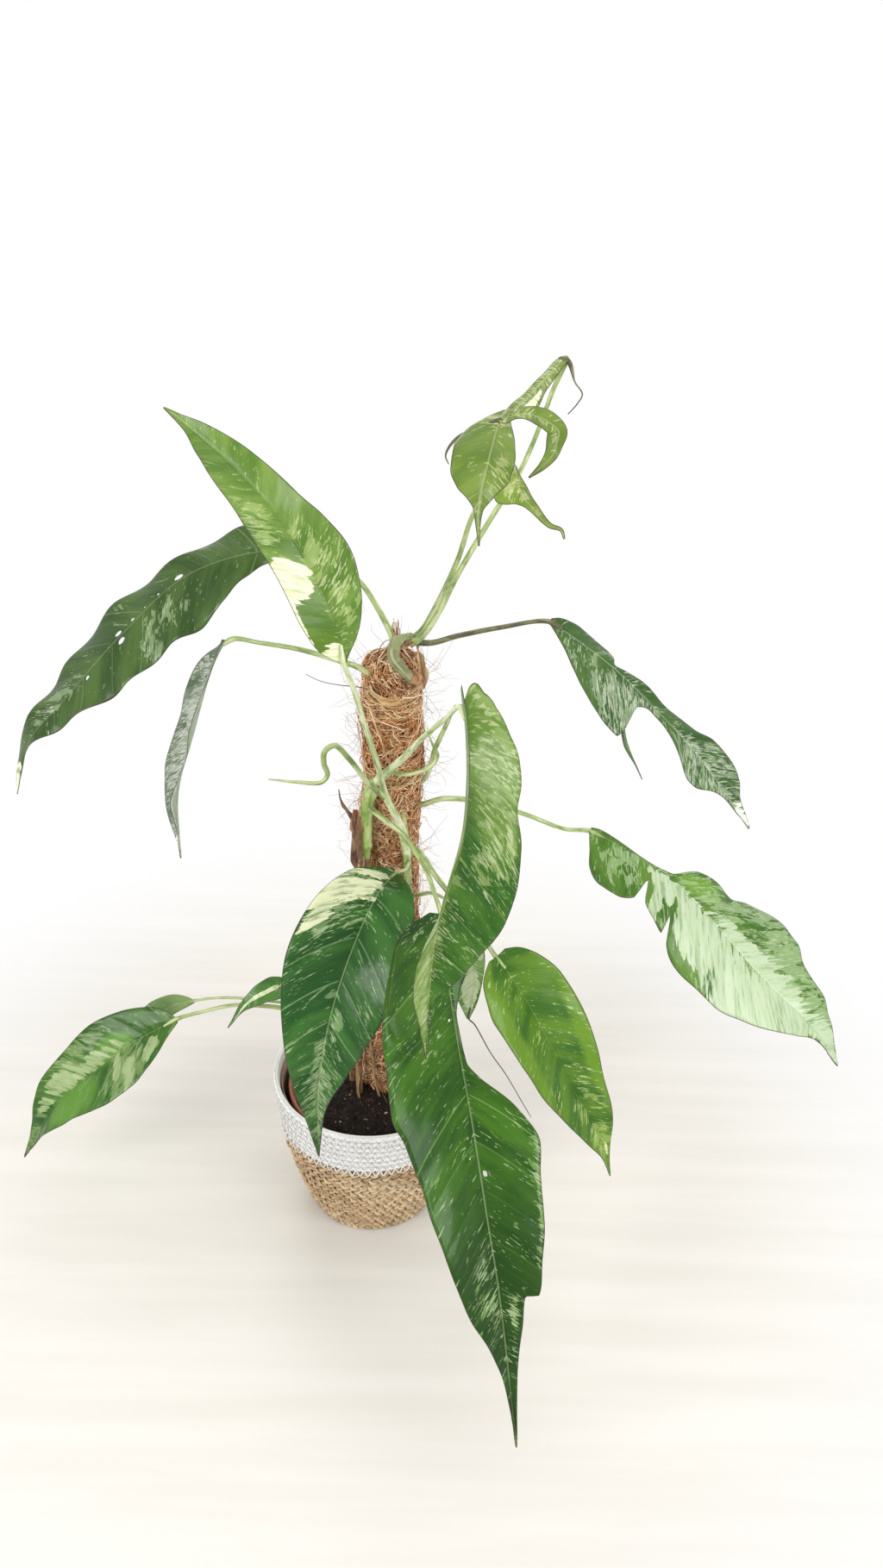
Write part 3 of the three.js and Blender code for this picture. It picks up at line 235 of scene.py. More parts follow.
def new_material(name, specular=0.5, coat=0.0, sheen=0.0):
    """A material with a Principled shader; its wiring and shader come back with it."""
    material = bpy.data.materials.new(name)
    material.use_nodes = True
    shader = material.node_tree.nodes["Principled BSDF"]
    shader.inputs["Specular IOR Level"].default_value = specular
    shader.inputs["Coat Weight"].default_value = coat
    shader.inputs["Sheen Weight"].default_value = sheen
    return material, Wiring(material.node_tree), shader


def dress(wiring, shader, tint, rough, height, depth):
    """Feeds a shader its colour, its roughness and a bump of that depth in metres."""
    links = wiring.tree.links
    links.new(tint, shader.inputs["Base Color"])
    links.new(rough, shader.inputs["Roughness"])
    bump = wiring.node("ShaderNodeBump", {"Height": height, "Distance": depth})
    links.new(bump.outputs[0], shader.inputs["Normal"])


def use_group(wiring, tree, values):
    """Places a node group in a material and returns its outputs."""
    return wiring.node("ShaderNodeGroup", values, node_tree=tree).outputs


# %% [markdown]
# ## Curves and tables
#
# Leaves are described by few numbers: a midrib through some points, and rows that say how wide
# either half is along it. These helpers turn such rows into smooth curves. They are written with
# arrays, because a leaf has thousands of points.

# %% Curves and tables


def rows_at(table, t):
    """Straight lines between rows of (t, value, ...)."""
    table = np.asarray(table, float)
    return np.stack([np.interp(t, table[:, 0], column) for column in table[:, 1:].T], -1)


def outline_at(table, t):
    """A round line through rows of (t, value) that never overshoots them."""
    x, y = np.asarray(table, float).T
    span = np.diff(x)
    rise = np.diff(y) / span
    before, after = rise[:-1], rise[1:]
    even = before * after > 0
    middle = np.where(even, 2 * before * after / np.where(even, before + after, 1), 0)
    slope = np.concatenate([rise[:1], middle, rise[-1:]])
    i = np.clip(np.searchsorted(x, t, side="right") - 1, 0, len(x) - 2)
    k = np.clip((t - x[i]) / span[i], 0, 1)
    a, b = slope[i] * span[i], slope[i + 1] * span[i]
    return (y[i] * (1 - 3 * k**2 + 2 * k**3) + y[i + 1] * (3 * k**2 - 2 * k**3)
            + a * (k - 2 * k**2 + k**3) + b * (k**3 - k**2))


def unit(vectors):
    return vectors / np.linalg.norm(vectors, axis=-1, keepdims=True)


def soft_step(value, low, high):
    k = np.clip((value - low) / (high - low), 0, 1)
    return k * k * (3 - 2 * k)


class Rail:
    """A smooth curve through points, read by its share of the length, straight beyond its ends."""

    def __init__(self, points):
        p = np.asarray(points, float)
        p = np.vstack([2 * p[0] - p[1], p, 2 * p[-1] - p[-2]])
        t = np.linspace(0, 1, 40, endpoint=False)[:, None]
        spans = []
        for p0, p1, p2, p3 in zip(p, p[1:], p[2:], p[3:]):
            d0, d1, d2 = (max(np.linalg.norm(b - a) ** 0.5, 1e-4)
                          for a, b in ((p0, p1), (p1, p2), (p2, p3)))
            m1 = ((p1 - p0) / d0 - (p2 - p0) / (d0 + d1) + (p2 - p1) / d1) * d1
            m2 = ((p2 - p1) / d1 - (p3 - p1) / (d1 + d2) + (p3 - p2) / d2) * d1
            spans.append(p1 + m1 * t + (3 * (p2 - p1) - 2 * m1 - m2) * t**2
                         + (2 * (p1 - p2) + m1 + m2) * t**3)
        self.path = np.vstack(spans + [p[-2]])
        steps = np.linalg.norm(np.diff(self.path, axis=0), axis=1)
        self.run = np.concatenate([[0], np.cumsum(steps)])
        self.length = self.run[-1]

    def inside(self, u):
        s = np.clip(u, 0, 1) * self.length
        return np.stack([np.interp(s, self.run, column) for column in self.path.T], -1)

    def tangent(self, u):
        return unit(self.inside(np.clip(u + 0.02, 0.02, 1)) - self.inside(np.clip(u - 0.02, 0, 0.98)))

    def at(self, u):
        u = np.asarray(u, float)
        beyond = (u - np.clip(u, 0, 1)) * self.length
        return self.inside(u) + self.tangent(u) * beyond[..., None]

    def nearest(self, point):
        """The share of the length that lies nearest to a point."""
        gap = np.linalg.norm(self.path - np.asarray(point, float), axis=1)
        return self.run[gap.argmin()] / self.length


# %% [markdown]
# ## From arrays to meshes
#
# A leaf is a blade, a petiole and perhaps a thread-like drip tip, and each has its own grid of
# points. One helper joins such parts into a single mesh, with a place on the surface (the UV
# map) and a few named numbers at each point, which the materials read later.

# %% Joining parts into a mesh
FIELDS = ("cream", "pale", "lime", "rib", "edge", "vein", "under")


def build_piece(name, parts, materials):
    """One object from parts, each a dict of points in mm, faces, uv for each corner, slot, fields."""
    mesh = bpy.data.meshes.new(name)
    start, points, faces, slots, corners = 0, [], [], [], []
    values = {key: [] for key in FIELDS}
    for part in parts:
        count = len(part["points"])
        points.append(part["points"] * MM)
        faces += [tuple(i + start for i in face) for face in part["faces"]]
        slots += [part.get("slot", 0)] * len(part["faces"])
        corners.append(part["uv"])
        for key in FIELDS:
            values[key].append(np.broadcast_to(part.get("fields", {}).get(key, 0.0), count))
        start += count
    mesh.from_pydata(np.vstack(points), [], faces)
    mesh.uv_layers.new(name="surface").data.foreach_set("uv", np.vstack(corners).ravel())
    for key in FIELDS:
        column = np.concatenate(values[key]).astype(np.float32)
        if column.any():
            mesh.attributes.new(key, "FLOAT", "POINT").data.foreach_set("value", column)
    for material in materials:
        mesh.materials.append(material)
    mesh.polygons.foreach_set("material_index", slots)
    mesh.shade_smooth()
    return new_object(name, mesh)


def triangle_count(piece):
    return sum(len(face.vertices) - 2 for face in piece.data.polygons)


def take_over(piece, node):
    """The piece stands for a CAD node, whose part is hidden, and rides on the one body."""
    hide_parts(node)
    add_detail(piece)


def add_detail(piece):
    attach(piece, "root")
    print(piece.name, triangle_count(piece), "triangles")


# %% [markdown]
# ## Round stems
#
# Petioles, vines, roots and drip tips are all tubes along a rail. The ring of points is carried
# along the curve without twisting. A groove along the upper side, as real petioles have, and
# swellings at the joints turn a plain tube into a stem.

# %% Tubes along a rail


def ring_faces(run, around):
    """Faces and UV places in cm of rings joined in a row, with a cap at either end."""
    rings, sides = len(run), len(around) - 1
    faces, uv = [], []
    for i in range(rings - 1):
        for j in range(sides):
            k = (j + 1) % sides
            faces.append((i * sides + j, i * sides + k, (i + 1) * sides + k, (i + 1) * sides + j))
            uv += [(run[i], around[j]), (run[i], around[j + 1]), (run[i + 1], around[j + 1]),
                   (run[i + 1], around[j])]
    faces.append(tuple(range(sides))[::-1])
    faces.append(tuple(range((rings - 1) * sides, rings * sides)))
    uv += [(0, 0)] * sides + [(run[-1], 0)] * sides
    return faces, np.array(uv)


def tube(points, girth, sides=12, groove=0.0, swellings=(), pitch=2.2, slot=0):
    """A closed tube in mm; swellings are (share of the length, extra radius, half length in mm)."""
    rail = Rail(points)
    steps = max(6, int(rail.length / pitch))
    u = np.linspace(0, 1, steps + 1)
    along = rail.tangent(u)
    radius = rows_at(girth, u)[:, 0]
    for share, extra, half in swellings:
        radius = radius + extra * np.exp(-(((u - share) * rail.length / half) ** 2))
    across = np.empty_like(along)
    look = np.array([0, 0, 1.0]) if abs(along[0, 2]) < 0.8 else np.array([0, -1.0, 0])
    for i, direction in enumerate(along):
        look = unit(look - direction * (look @ direction))
        across[i] = look
    beside = np.cross(along, across)
    turn = np.arange(sides) * 2 * math.pi / sides
    wide = radius[:, None] * (1 - groove * np.exp(-((np.minimum(turn, 2 * math.pi - turn) / 0.5) ** 2)))
    rings = (rail.at(u)[:, None] + across[:, None] * (wide * np.cos(turn))[..., None]
             + beside[:, None] * (wide * np.sin(turn))[..., None])
    around = np.arange(sides + 1) * 2 * math.pi / sides * radius.mean() / 10
    faces, uv = ring_faces(u * rail.length / 10, around)
    return dict(points=rings.reshape(-1, 3), faces=faces, uv=uv, slot=slot)


# %% [markdown]
# ## The leaf blade
#
# A blade has a midrib in space, a direction that its face looks, and a half width on either
# side. Its points are not placed straight across: they follow the lateral veins, which sweep
# forwards as they leave the midrib. A line of the grid is then a vein, so ribs, quilting and
# marbling can all be written along it. Small ellipses can be punched out, because this plant
# opens narrow windows beside its midrib.

# %% Blade: place and relief
VEIN_SWEEP = [(0, -0.3), (0.3, 0.35), (0.8, 0.45), (1, 0.2)]
VEIN_PITCH = 7.5         # mm between lateral veins
MAIN_EVERY = 4           # every fourth vein is a main one
SWEEP_REACH = 110        # mm out at which the sweep has grown by a whole
DROOP_REACH = 40         # mm out at which a half droops by its full value
WAVE_LAG = 0.37          # turns by which the waves of one half are ahead of the other's
LEAN = 0.5               # how far veins and marks lean towards the tip, for each mm outwards
BLADE_THICKNESS = 0.5
KEEL = 0.7               # how far the midrib stands out below
RIB_LINES = (0.45, 1.0, 1.9)
OPEN_COLUMNS = 13


class Blade:
    def __init__(self, mid, face, right, left, fold=((0, 20), (1, 20)), fold_right=None,
                 fold_left=None, sweep=VEIN_SWEEP, droop=3, wave=(0, 1, 0)):
        self.rail = Rail(mid)
        self.face, self.right, self.left = face, right, left
        self.fold_right, self.fold_left = fold_right or fold, fold_left or fold
        self.sweep, self.droop, self.wave = sweep, droop, wave
        self.veins = max(4, round(self.rail.length / VEIN_PITCH))

    def width(self, u0, hand):
        return np.where(hand > 0, outline_at(self.right, u0), outline_at(self.left, u0))

    def place(self, u0, hand, q):
        """Points in mm and the way they face, a share q out along the vein that starts at u0."""
        length = self.rail.length
        out = q * self.width(u0, hand)
        swept = out * rows_at(self.sweep, u0)[..., 0] * (0.6 + out / SWEEP_REACH)
        u = u0 + np.minimum(swept, (1 - u0) * length * 0.7 * q) / length
        along = self.rail.tangent(u)
        face = rows_at(self.face, u)
        face = unit(face - along * (face * along).sum(-1, keepdims=True))
        side = np.cross(along, face)
        fold = np.radians(np.where(hand > 0, rows_at(self.fold_right, u0)[..., 0],
                                   rows_at(self.fold_left, u0)[..., 0]))
        height, count, start = self.wave
        turn = 2 * math.pi * (count * u0 + start + WAVE_LAG * (hand > 0))
        lift = (out * np.sin(fold) - self.droop * (out / DROOP_REACH) ** 2
                + height * np.minimum(1, (1 - u0) * 5) * q * q * np.sin(turn))
        point = self.rail.at(u) + side * (hand * out * np.cos(fold))[..., None] + face * lift[..., None]
        opened = fold * np.minimum(1, out / 2)
        facing = face * np.cos(opened)[..., None] - side * (hand * np.sin(opened))[..., None]
        return point, facing, out

    def vein(self, u0, out):
        """The number of the lateral vein at a point, counted from the petiole."""
        return u0 * self.veins - LEAN * out / VEIN_PITCH

    def relief(self, u0, hand, q, out, quilt, rng):
        """Heights in mm of the upper and the lower face over the smooth blade."""
        number = self.vein(u0, out)
        near = np.abs(number - np.round(number))
        main = np.abs(number / MAIN_EVERY - np.round(number / MAIN_EVERY)) * MAIN_EVERY
        reach = soft_step(q, 0.02, 0.22) * (1 - 0.75 * soft_step(q, 0.8, 1))
        strength = rng.uniform(0.25, 1.0, 60)[np.floor(number / MAIN_EVERY).astype(int) % 60]
        upper = quilt * reach * (0.08 * np.sin(math.pi * near)
                                 + 0.42 * strength * np.sin(math.pi * main / MAIN_EVERY)
                                 - 0.14 * np.exp(-((main / 0.3) ** 2)))
        s = u0 * self.rail.length
        for wavelength in (23, 37, 61):
            tilt, phase = rng.uniform(0, 2 * math.pi, 2)
            across = s * math.cos(tilt) + hand * out * math.sin(tilt)
            upper = upper + 0.01 * wavelength * q * np.sin(2 * math.pi * across / wavelength + phase)
        groove = 0.3 * np.exp(-((out / 0.6) ** 2)) - 0.12 * np.exp(-(((out - 1.3) / 0.6) ** 2))
        keel = KEEL * (1 - 0.8 * u0) * np.exp(-((out / 0.8) ** 2))
        ridge = 0.16 * quilt * reach * np.exp(-((main / 0.25) ** 2))
        thick = BLADE_THICKNESS * (1 - 0.4 * soft_step(q, 0.9, 1))
        return upper - groove, upper - thick - keel - ridge


def punch(s, o, windows):
    """Moves the grid lines round each window (s, o, half length, half width); returns what falls out."""
    fallen = np.zeros((s.shape[0] - 1, s.shape[1] - 1), bool)
    for s0, o0, half_length, half_width in windows:
        x, y = (s - s0) / half_length, (o - o0) / half_width
        middle = [(v[1:, 1:] + v[:-1, 1:] + v[1:, :-1] + v[:-1, :-1]) / 4 for v in (x, y)]
        gone = np.hypot(*middle) < 1
        if not gone.any():
            gone.flat[np.hypot(*middle).argmin()] = True
        touched, kept = np.zeros(s.shape, bool), np.zeros(s.shape, bool)
        for di in (slice(1, None), slice(None, -1)):
            for dj in (slice(1, None), slice(None, -1)):
                touched[di, dj] |= gone
                kept[di, dj] |= ~gone
        rim = touched & kept
        reach = np.maximum(np.hypot(x, y), 0.3)
        s[rim] = s0 + (x / reach)[rim] * half_length
        o[rim] = o0 + (y / reach)[rim] * half_width
        fallen |= gone
    return fallen


# %% [markdown]
# ## From a blade to a mesh
#
# The upper and the lower face share one grid, half a millimetre apart, and a narrow wall closes
# the margin and every window. Each point also gets its vein number, its distance to the midrib
# and to the margin, and how far it lies inside the cream, pale or lime patches of this leaf.

# %% Blade: mesh


def patch_field(patches, u0, p):
    """How far inside the nearest oval patch (u, p, half u, half p) a point lies, from -1 to 1."""
    field = np.full(u0.shape, -1.0)
    for u, at, half_u, half_p in patches:
        field = np.maximum(field, 1 - ((u0 - u) / half_u) ** 2 - ((p - at) / half_p) ** 2)
    return np.maximum(field, -1) + 1


def blade_part(spec, looks, seed):
    """The mesh part of one blade; looks holds its patches, windows and quilting."""
    blade = Blade(**spec)
    length = blade.rail.length
    rows = max(blade.veins * 6, 48)
    rows += -rows % blade.veins
    u0 = np.repeat(np.linspace(0, 1, rows + 1)[:, None], 2 * (OPEN_COLUMNS + 3) + 1, 1)
    ranks = np.arange(-(OPEN_COLUMNS + 3), OPEN_COLUMNS + 4)
    hand = np.broadcast_to(np.sign(ranks).astype(float), u0.shape)
    width = blade.width(u0, hand)
    q = np.zeros(u0.shape)
    for j, rank in enumerate(np.abs(ranks)):
        ribs = [np.minimum(line / width[:, j], 0.12 * (k + 1)) for k, line in enumerate(RIB_LINES)]
        if 0 < rank <= 3:
            q[:, j] = ribs[rank - 1]
        elif rank > 3:
            q[:, j] = ribs[2] + (1 - ribs[2]) * (rank - 3) / OPEN_COLUMNS
    s, o = u0 * length, hand * q * width
    windows = [(u * length, at, a, b) for u, at, a, b in looks.get("windows", [])]
    fallen = punch(s, o, windows)
    if windows:
        u0, hand = s / length, np.sign(o)
        q = np.clip(np.abs(o) / blade.width(u0, hand), 0, 1)
    rng = np.random.default_rng(seed)
    point, facing, out = blade.place(u0, hand, q)
    upper, lower = blade.relief(u0, hand, q, out, looks.get("quilt", 1.0), rng)
    top = point + facing * upper[..., None]
    bottom = point + facing * lower[..., None]
    count = u0.size
    index = np.arange(count).reshape(u0.shape)
    quads = np.stack([index[:-1, :-1], index[:-1, 1:], index[1:, 1:], index[1:, :-1]], -1)[~fallen]
    edges = dict.fromkeys(edge for a, b, c, d in quads.tolist()
                          for edge in ((a, b), (b, c), (c, d), (d, a)))
    walls = np.array([(b, a, a + count, b + count) for a, b in edges if (b, a) not in edges])
    faces = np.vstack([quads, quads[:, ::-1] + count, walls])
    p = hand * q
    flat = np.stack([u0 * length / 10, hand * out / 10], -1).reshape(-1, 2)
    doubled = np.vstack([flat, flat])
    fields = dict(rib=out, edge=(1 - q) * blade.width(u0, hand), vein=blade.vein(u0, out))
    for key in ("cream", "pale", "lime"):
        fields[key] = patch_field(looks.get(key, []), u0, p)
    fields = {key: np.tile(value.ravel(), 2) for key, value in fields.items()}
    fields["under"] = np.repeat([0.0, 1.0], count)
    used = np.unique(faces)
    place = np.zeros(2 * count, int)
    place[used] = np.arange(len(used))
    return dict(points=np.vstack([top.reshape(-1, 3), bottom.reshape(-1, 3)])[used],
                faces=[tuple(face) for face in place[faces].tolist()],
                uv=doubled[faces.ravel()], fields={key: value[used] for key, value in fields.items()})


# %% [markdown]
# ## Leaf green, marbling and cream
#
# The leaf is painted in layers, most of them as it grows: two greens that drift into each other,
# lighter veins (on some main veins also a painted highlight), grey-green marbling, short pale flecks
# along the veins, and cream sectors where the cells have no green at all. On one leaf a dark patch
# is painted shade, and on another a pale patch is a painted sheen highlight. The margin is a thin
# purplish-brown line, and the underside is paler and duller. All leaves share one node group,
# because only its values differ from leaf to leaf.

# %% Node group: leaf paint
PAINT = [("Tint", "Color"), ("Rough", "Float"), ("Height", "Float")]


def leaf_paint_tree():
    takes = [("Surface", "Vector", None), ("Seed", "Float", 0.0), ("Deep", "Color", None),
             ("Light", "Color", None), ("Lime", "Color", None), ("Pale", "Color", None),
             ("Cream", "Color", None), ("Marbling", "Float", 0.0), ("Flecks", "Float", 0.0),
             ("Ragged", "Float", 0.8), ("Midrib", "Float", 0.3)]
    tree, w, start, end = new_tree("leaf_paint", "ShaderNodeTree", takes, PAINT)
    # two greens that drift into each other, and lime patches; on one leaf the lime colour is a dark green
    # that paints shade
    x, y, _ = w.split(start["Surface"])
    x = w.times_plus(w.math("ABSOLUTE", y), -LEAN, x)
    x = w.plus(x, w.times(start["Seed"], 17.3))
    y = w.plus(y, w.times(start["Seed"], 5.7))
    streaks = w.combine(x, w.times(y, 0.36), start["Seed"])
    blots = w.combine(x, w.times(y, 0.5), start["Seed"])
    drift = w.noise(streaks, 0.7, 3.0)
    tint = w.mix(w.step(drift, 0.35, 0.68), start["Deep"], start["Light"])
    lime = w.step(w.plus(w.field("lime"), w.times(drift, 0.8)), 0.6, 1.9)
    tint = w.over(tint, lime, 0.8, start["Lime"])

    # lesser and main veins; some main veins are lighter, partly paler vein tissue and partly a painted
    # highlight along the raised vein
    number = w.field("vein")
    open_blade = w.step(w.field("rib"), 0.4, 3.0)
    lines = {}
    for label, every, half in (("lesser", 1, 0.10), ("main", MAIN_EVERY, 0.035)):
        share = w.math("FRACT", w.plus(w.math("DIVIDE", number, float(every)), 0.5))
        gap = w.math("ABSOLUTE", w.minus(share, 0.5))
        lines[label] = w.times(w.step(gap, half, 0.0), open_blade)
    tint = w.over(tint, lines["lesser"], 0.12, start["Light"])
    which = w.combine(w.math("ROUND", w.math("DIVIDE", number, float(MAIN_EVERY))), start["Seed"], 0.0)
    vein_pale_and_highlight = w.step(w.noise(which, 2.3, 1.0), 0.42, 0.62)
    vein_pale_and_highlight = w.times(w.times_plus(vein_pale_and_highlight, 1.5, 0.3), start["Midrib"])
    tint = w.over(tint, lines["main"], vein_pale_and_highlight, start["Pale"])

    # grey-green marbling
    marble = w.noise(w.moved(blots, (3.1, 8.2, 1.7)), 1.25, 6.0, 0.62, 0.9)
    rise = w.plus(w.times(w.field("pale"), 0.085), w.times(start["Marbling"], 0.1))
    marbled = w.step(w.plus(marble, rise), 0.685, 0.72)
    tint = w.over(tint, marbled, 0.55, start["Pale"])

    # short pale flecks, in crowds
    strips = w.combine(x, w.times(y, 0.2), start["Seed"])
    fine = w.noise(w.moved(strips, (9.4, 2.2, 5.5)), 8.0, 3.0, 0.58, 0.35)
    crowd = w.noise(w.moved(blots, (1.4, 6.6, 2.8)), 0.55, 2.0)
    rise = w.plus(w.times(crowd, 0.28), w.times(start["Flecks"], 0.1))
    rise = w.plus(rise, w.times(w.field("pale"), 0.05))
    fleck = w.step(w.plus(fine, rise), 0.84, 0.89)
    light_fleck = w.mix(0.45, start["Pale"], start["Cream"])
    tint = w.over(tint, fleck, 0.62, light_fleck)

    # cream, with torn edges and green strips left in it
    torn = w.noise(w.moved(strips, (4.8, 7.1, 9.9)), 1.9, 6.0, 0.62, 0.25)
    torn = w.times(w.minus(torn, 0.5), w.times(start["Ragged"], 3.6))
    torn = w.times(torn, w.step(w.field("cream"), 0.0, 0.6))
    creamy = w.step(w.plus(w.field("cream"), torn), 0.92, 1.08)
    milk = w.mix(w.step(w.noise(strips, 3.0, 4.0), 0.45, 0.8), start["Cream"], start["Pale"])
    green_left = w.noise(w.moved(strips, (2.7, 5.3, 8.8)), 3.4, 4.0, 0.6, 0.3)
    green_left = w.step(green_left, 0.5, 0.62)
    most = w.math("MINIMUM", w.times(start["Ragged"], 0.36), 0.5)
    green_left = w.times(green_left, most)
    creamy = w.times(creamy, w.minus(1.0, green_left))
    tint = w.mix(creamy, tint, milk)

    # midrib, underside and margin
    midrib = w.step(w.field("rib"), 0.8, 0.25)
    tint = w.over(tint, midrib, start["Midrib"], light_fleck)
    tint = w.over(tint, w.field("under"), 0.42, colour("#a9bd93"))
    margin = w.step(w.field("edge"), 0.6, 0.25)
    tint = w.over(tint, margin, 0.8, colour("#4a3838"))

    # gloss and fine relief
    rough = w.plus(0.25, w.times(drift, 0.16))
    rough = w.plus(rough, w.times(w.field("under"), 0.2))
    rough = w.plus(rough, w.times(creamy, 0.08))
    cells = w.noise(blots, 26.0, 2.0)
    thread = w.noise(w.combine(x, w.times(y, 0.12), start["Seed"]), 9.0, 2.0)
    height = w.plus(w.times(cells, 0.35), w.times(thread, 0.9))
    height = w.minus(height, w.times(lines["lesser"], 0.5))
    height = w.plus(height, w.times(creamy, 0.2))
    return give(tree, end, Tint=tint, Rough=rough, Height=height)


LEAF_PAINT = leaf_paint_tree()


def leaf_material(name, seed, deep, light, lime="#9dc23a", pale="#b9cfa6", cream="#eef0cf",
                  marbling=0.3, flecks=0.5, ragged=0.8, midrib=0.3):
    material, w, shader = new_material(name, specular=0.15, coat=0.28)
    shader.inputs["Coat Roughness"].default_value = 0.14
    surface = w.node("ShaderNodeUVMap", uv_map="surface").outputs[0]
    outs = use_group(w, LEAF_PAINT, {
        "Surface": surface, "Seed": float(seed), "Deep": colour(deep), "Light": colour(light),
        "Lime": colour(lime), "Pale": colour(pale), "Cream": colour(cream), "Marbling": marbling,
        "Flecks": flecks, "Ragged": ragged, "Midrib": midrib})
    dress(w, shader, outs["Tint"], outs["Rough"], outs["Height"], 0.00022)
    return material


# %% [markdown]
# ## Green stems
#
# Petioles are smooth and satin, with fine lines along them and the same pale streaks as the
# leaves. Old stems turn grey and corky. One group covers both, by its colours and its depth.

# %% Node group: stem paint


def stem_paint_tree():
    takes = [("Surface", "Vector", None), ("Seed", "Float", 0.0), ("Base", "Color", None),
             ("Streak", "Color", None), ("Shade", "Color", None), ("Streaking", "Float", 0.5)]
    tree, w, start, end = new_tree("stem_paint", "ShaderNodeTree", takes, PAINT)
    x, y, _ = w.split(start["Surface"])
    x = w.plus(x, w.times(start["Seed"], 13.1))
    lines = w.combine(w.times(x, 0.16), y, start["Seed"])
    broad = w.noise(lines, 2.6, 3.0, 0.55)
    fine = w.noise(lines, 14.0, 3.0, 0.6)
    tint = w.mix(w.step(w.noise(w.combine(x, y, start["Seed"]), 1.3, 3.0), 0.38, 0.68),
                 start["Base"], start["Shade"])
    streak = w.step(w.plus(broad, w.times(start["Streaking"], 0.14)), 0.56, 0.66)
    tint = w.over(tint, streak, 0.75, start["Streak"])
    tint = w.over(tint, w.step(fine, 0.55, 0.75), 0.3, start["Streak"])
    tint = w.over(tint, w.step(fine, 0.45, 0.3), 0.3, start["Shade"])
    rough = w.plus(0.38, w.times(broad, 0.2))
    return give(tree, end, Tint=tint, Rough=rough, Height=fine)


STEM_PAINT = stem_paint_tree()


def stem_material(name, seed, base, streak, shade, streaking=0.5, depth=0.0004):
    material, w, shader = new_material(name, specular=0.45)
    surface = w.node("ShaderNodeUVMap", uv_map="surface").outputs[0]
    outs = use_group(w, STEM_PAINT, {"Surface": surface, "Seed": float(seed), "Base": colour(base),
                                     "Streak": colour(streak), "Shade": colour(shade),
                                     "Streaking": streaking})
    dress(w, shader, outs["Tint"], outs["Rough"], outs["Height"], depth)
    return material


STEMS = {
    "fresh": stem_material("petiole_green", 1, "#a2b472", "#d3daa6", "#768c4c"),
    "cream": stem_material("petiole_cream", 2, "#bfcc94", "#e9ebc8", "#93a865", 0.8),
    "olive": stem_material("petiole_olive", 3, "#6f6e49", "#9c9c72", "#4d4a36", 0.2),
    "vine": stem_material("vine_green", 4, "#a0b962", "#c9d79a", "#7d9a46", 0.45, 0.0006),
    "grey": stem_material("vine_grey", 5, "#9a9e70", "#c4c396", "#6e7049", 0.3, 0.0009),
    "bark": stem_material("root_bark", 6, "#a07c55", "#c6a77c", "#6b4d33", 0.4, 0.0012),
    "paper": stem_material("dry_paper", 7, "#bb9468", "#e2c79c", "#84603f", 0.5, 0.0012),
    "straw": stem_material("pale_straw", 10, "#dcb681", "#f5e0b8", "#b98e5a", 0.6, 0.0008),
    "husk": stem_material("brown_husk", 11, "#935c3d", "#c99a70", "#5b3423", 0.5, 0.0012),
    "tip": stem_material("leaf_tip", 9, "#5c7a49", "#8ea67c", "#46593c", 0.3),
    "purple": stem_material("dry_purple", 8, "#84604a", "#b7936f", "#563a34", 0.5, 0.0012),
}
print(len(STEMS), "stem materials")

# %% [markdown]
# ## Fifteen leaves
#
# These are the leaves of the CAD model: a petiole from the vine to the blade, and one or more
# blades. Right and left are as seen on the upper face with the tip pointing away. The same
# numbers as in the CAD model keep every fine leaf on its solid.

# %% Table of leaves: the crown
PETIOLE = [(0, 2.6), (0.12, 2.1), (0.8, 1.5), (0.93, 1.8), (1, 1.3)]
SHEATHED = [(0, 2.4), (0.1, 3.6), (0.3, 2.6), (0.5, 2), (0.9, 1.6), (0.95, 1.9), (1, 1.3)]
SLIM = [(0, 1.9), (0.2, 1.4), (0.85, 1.1), (1, 1)]

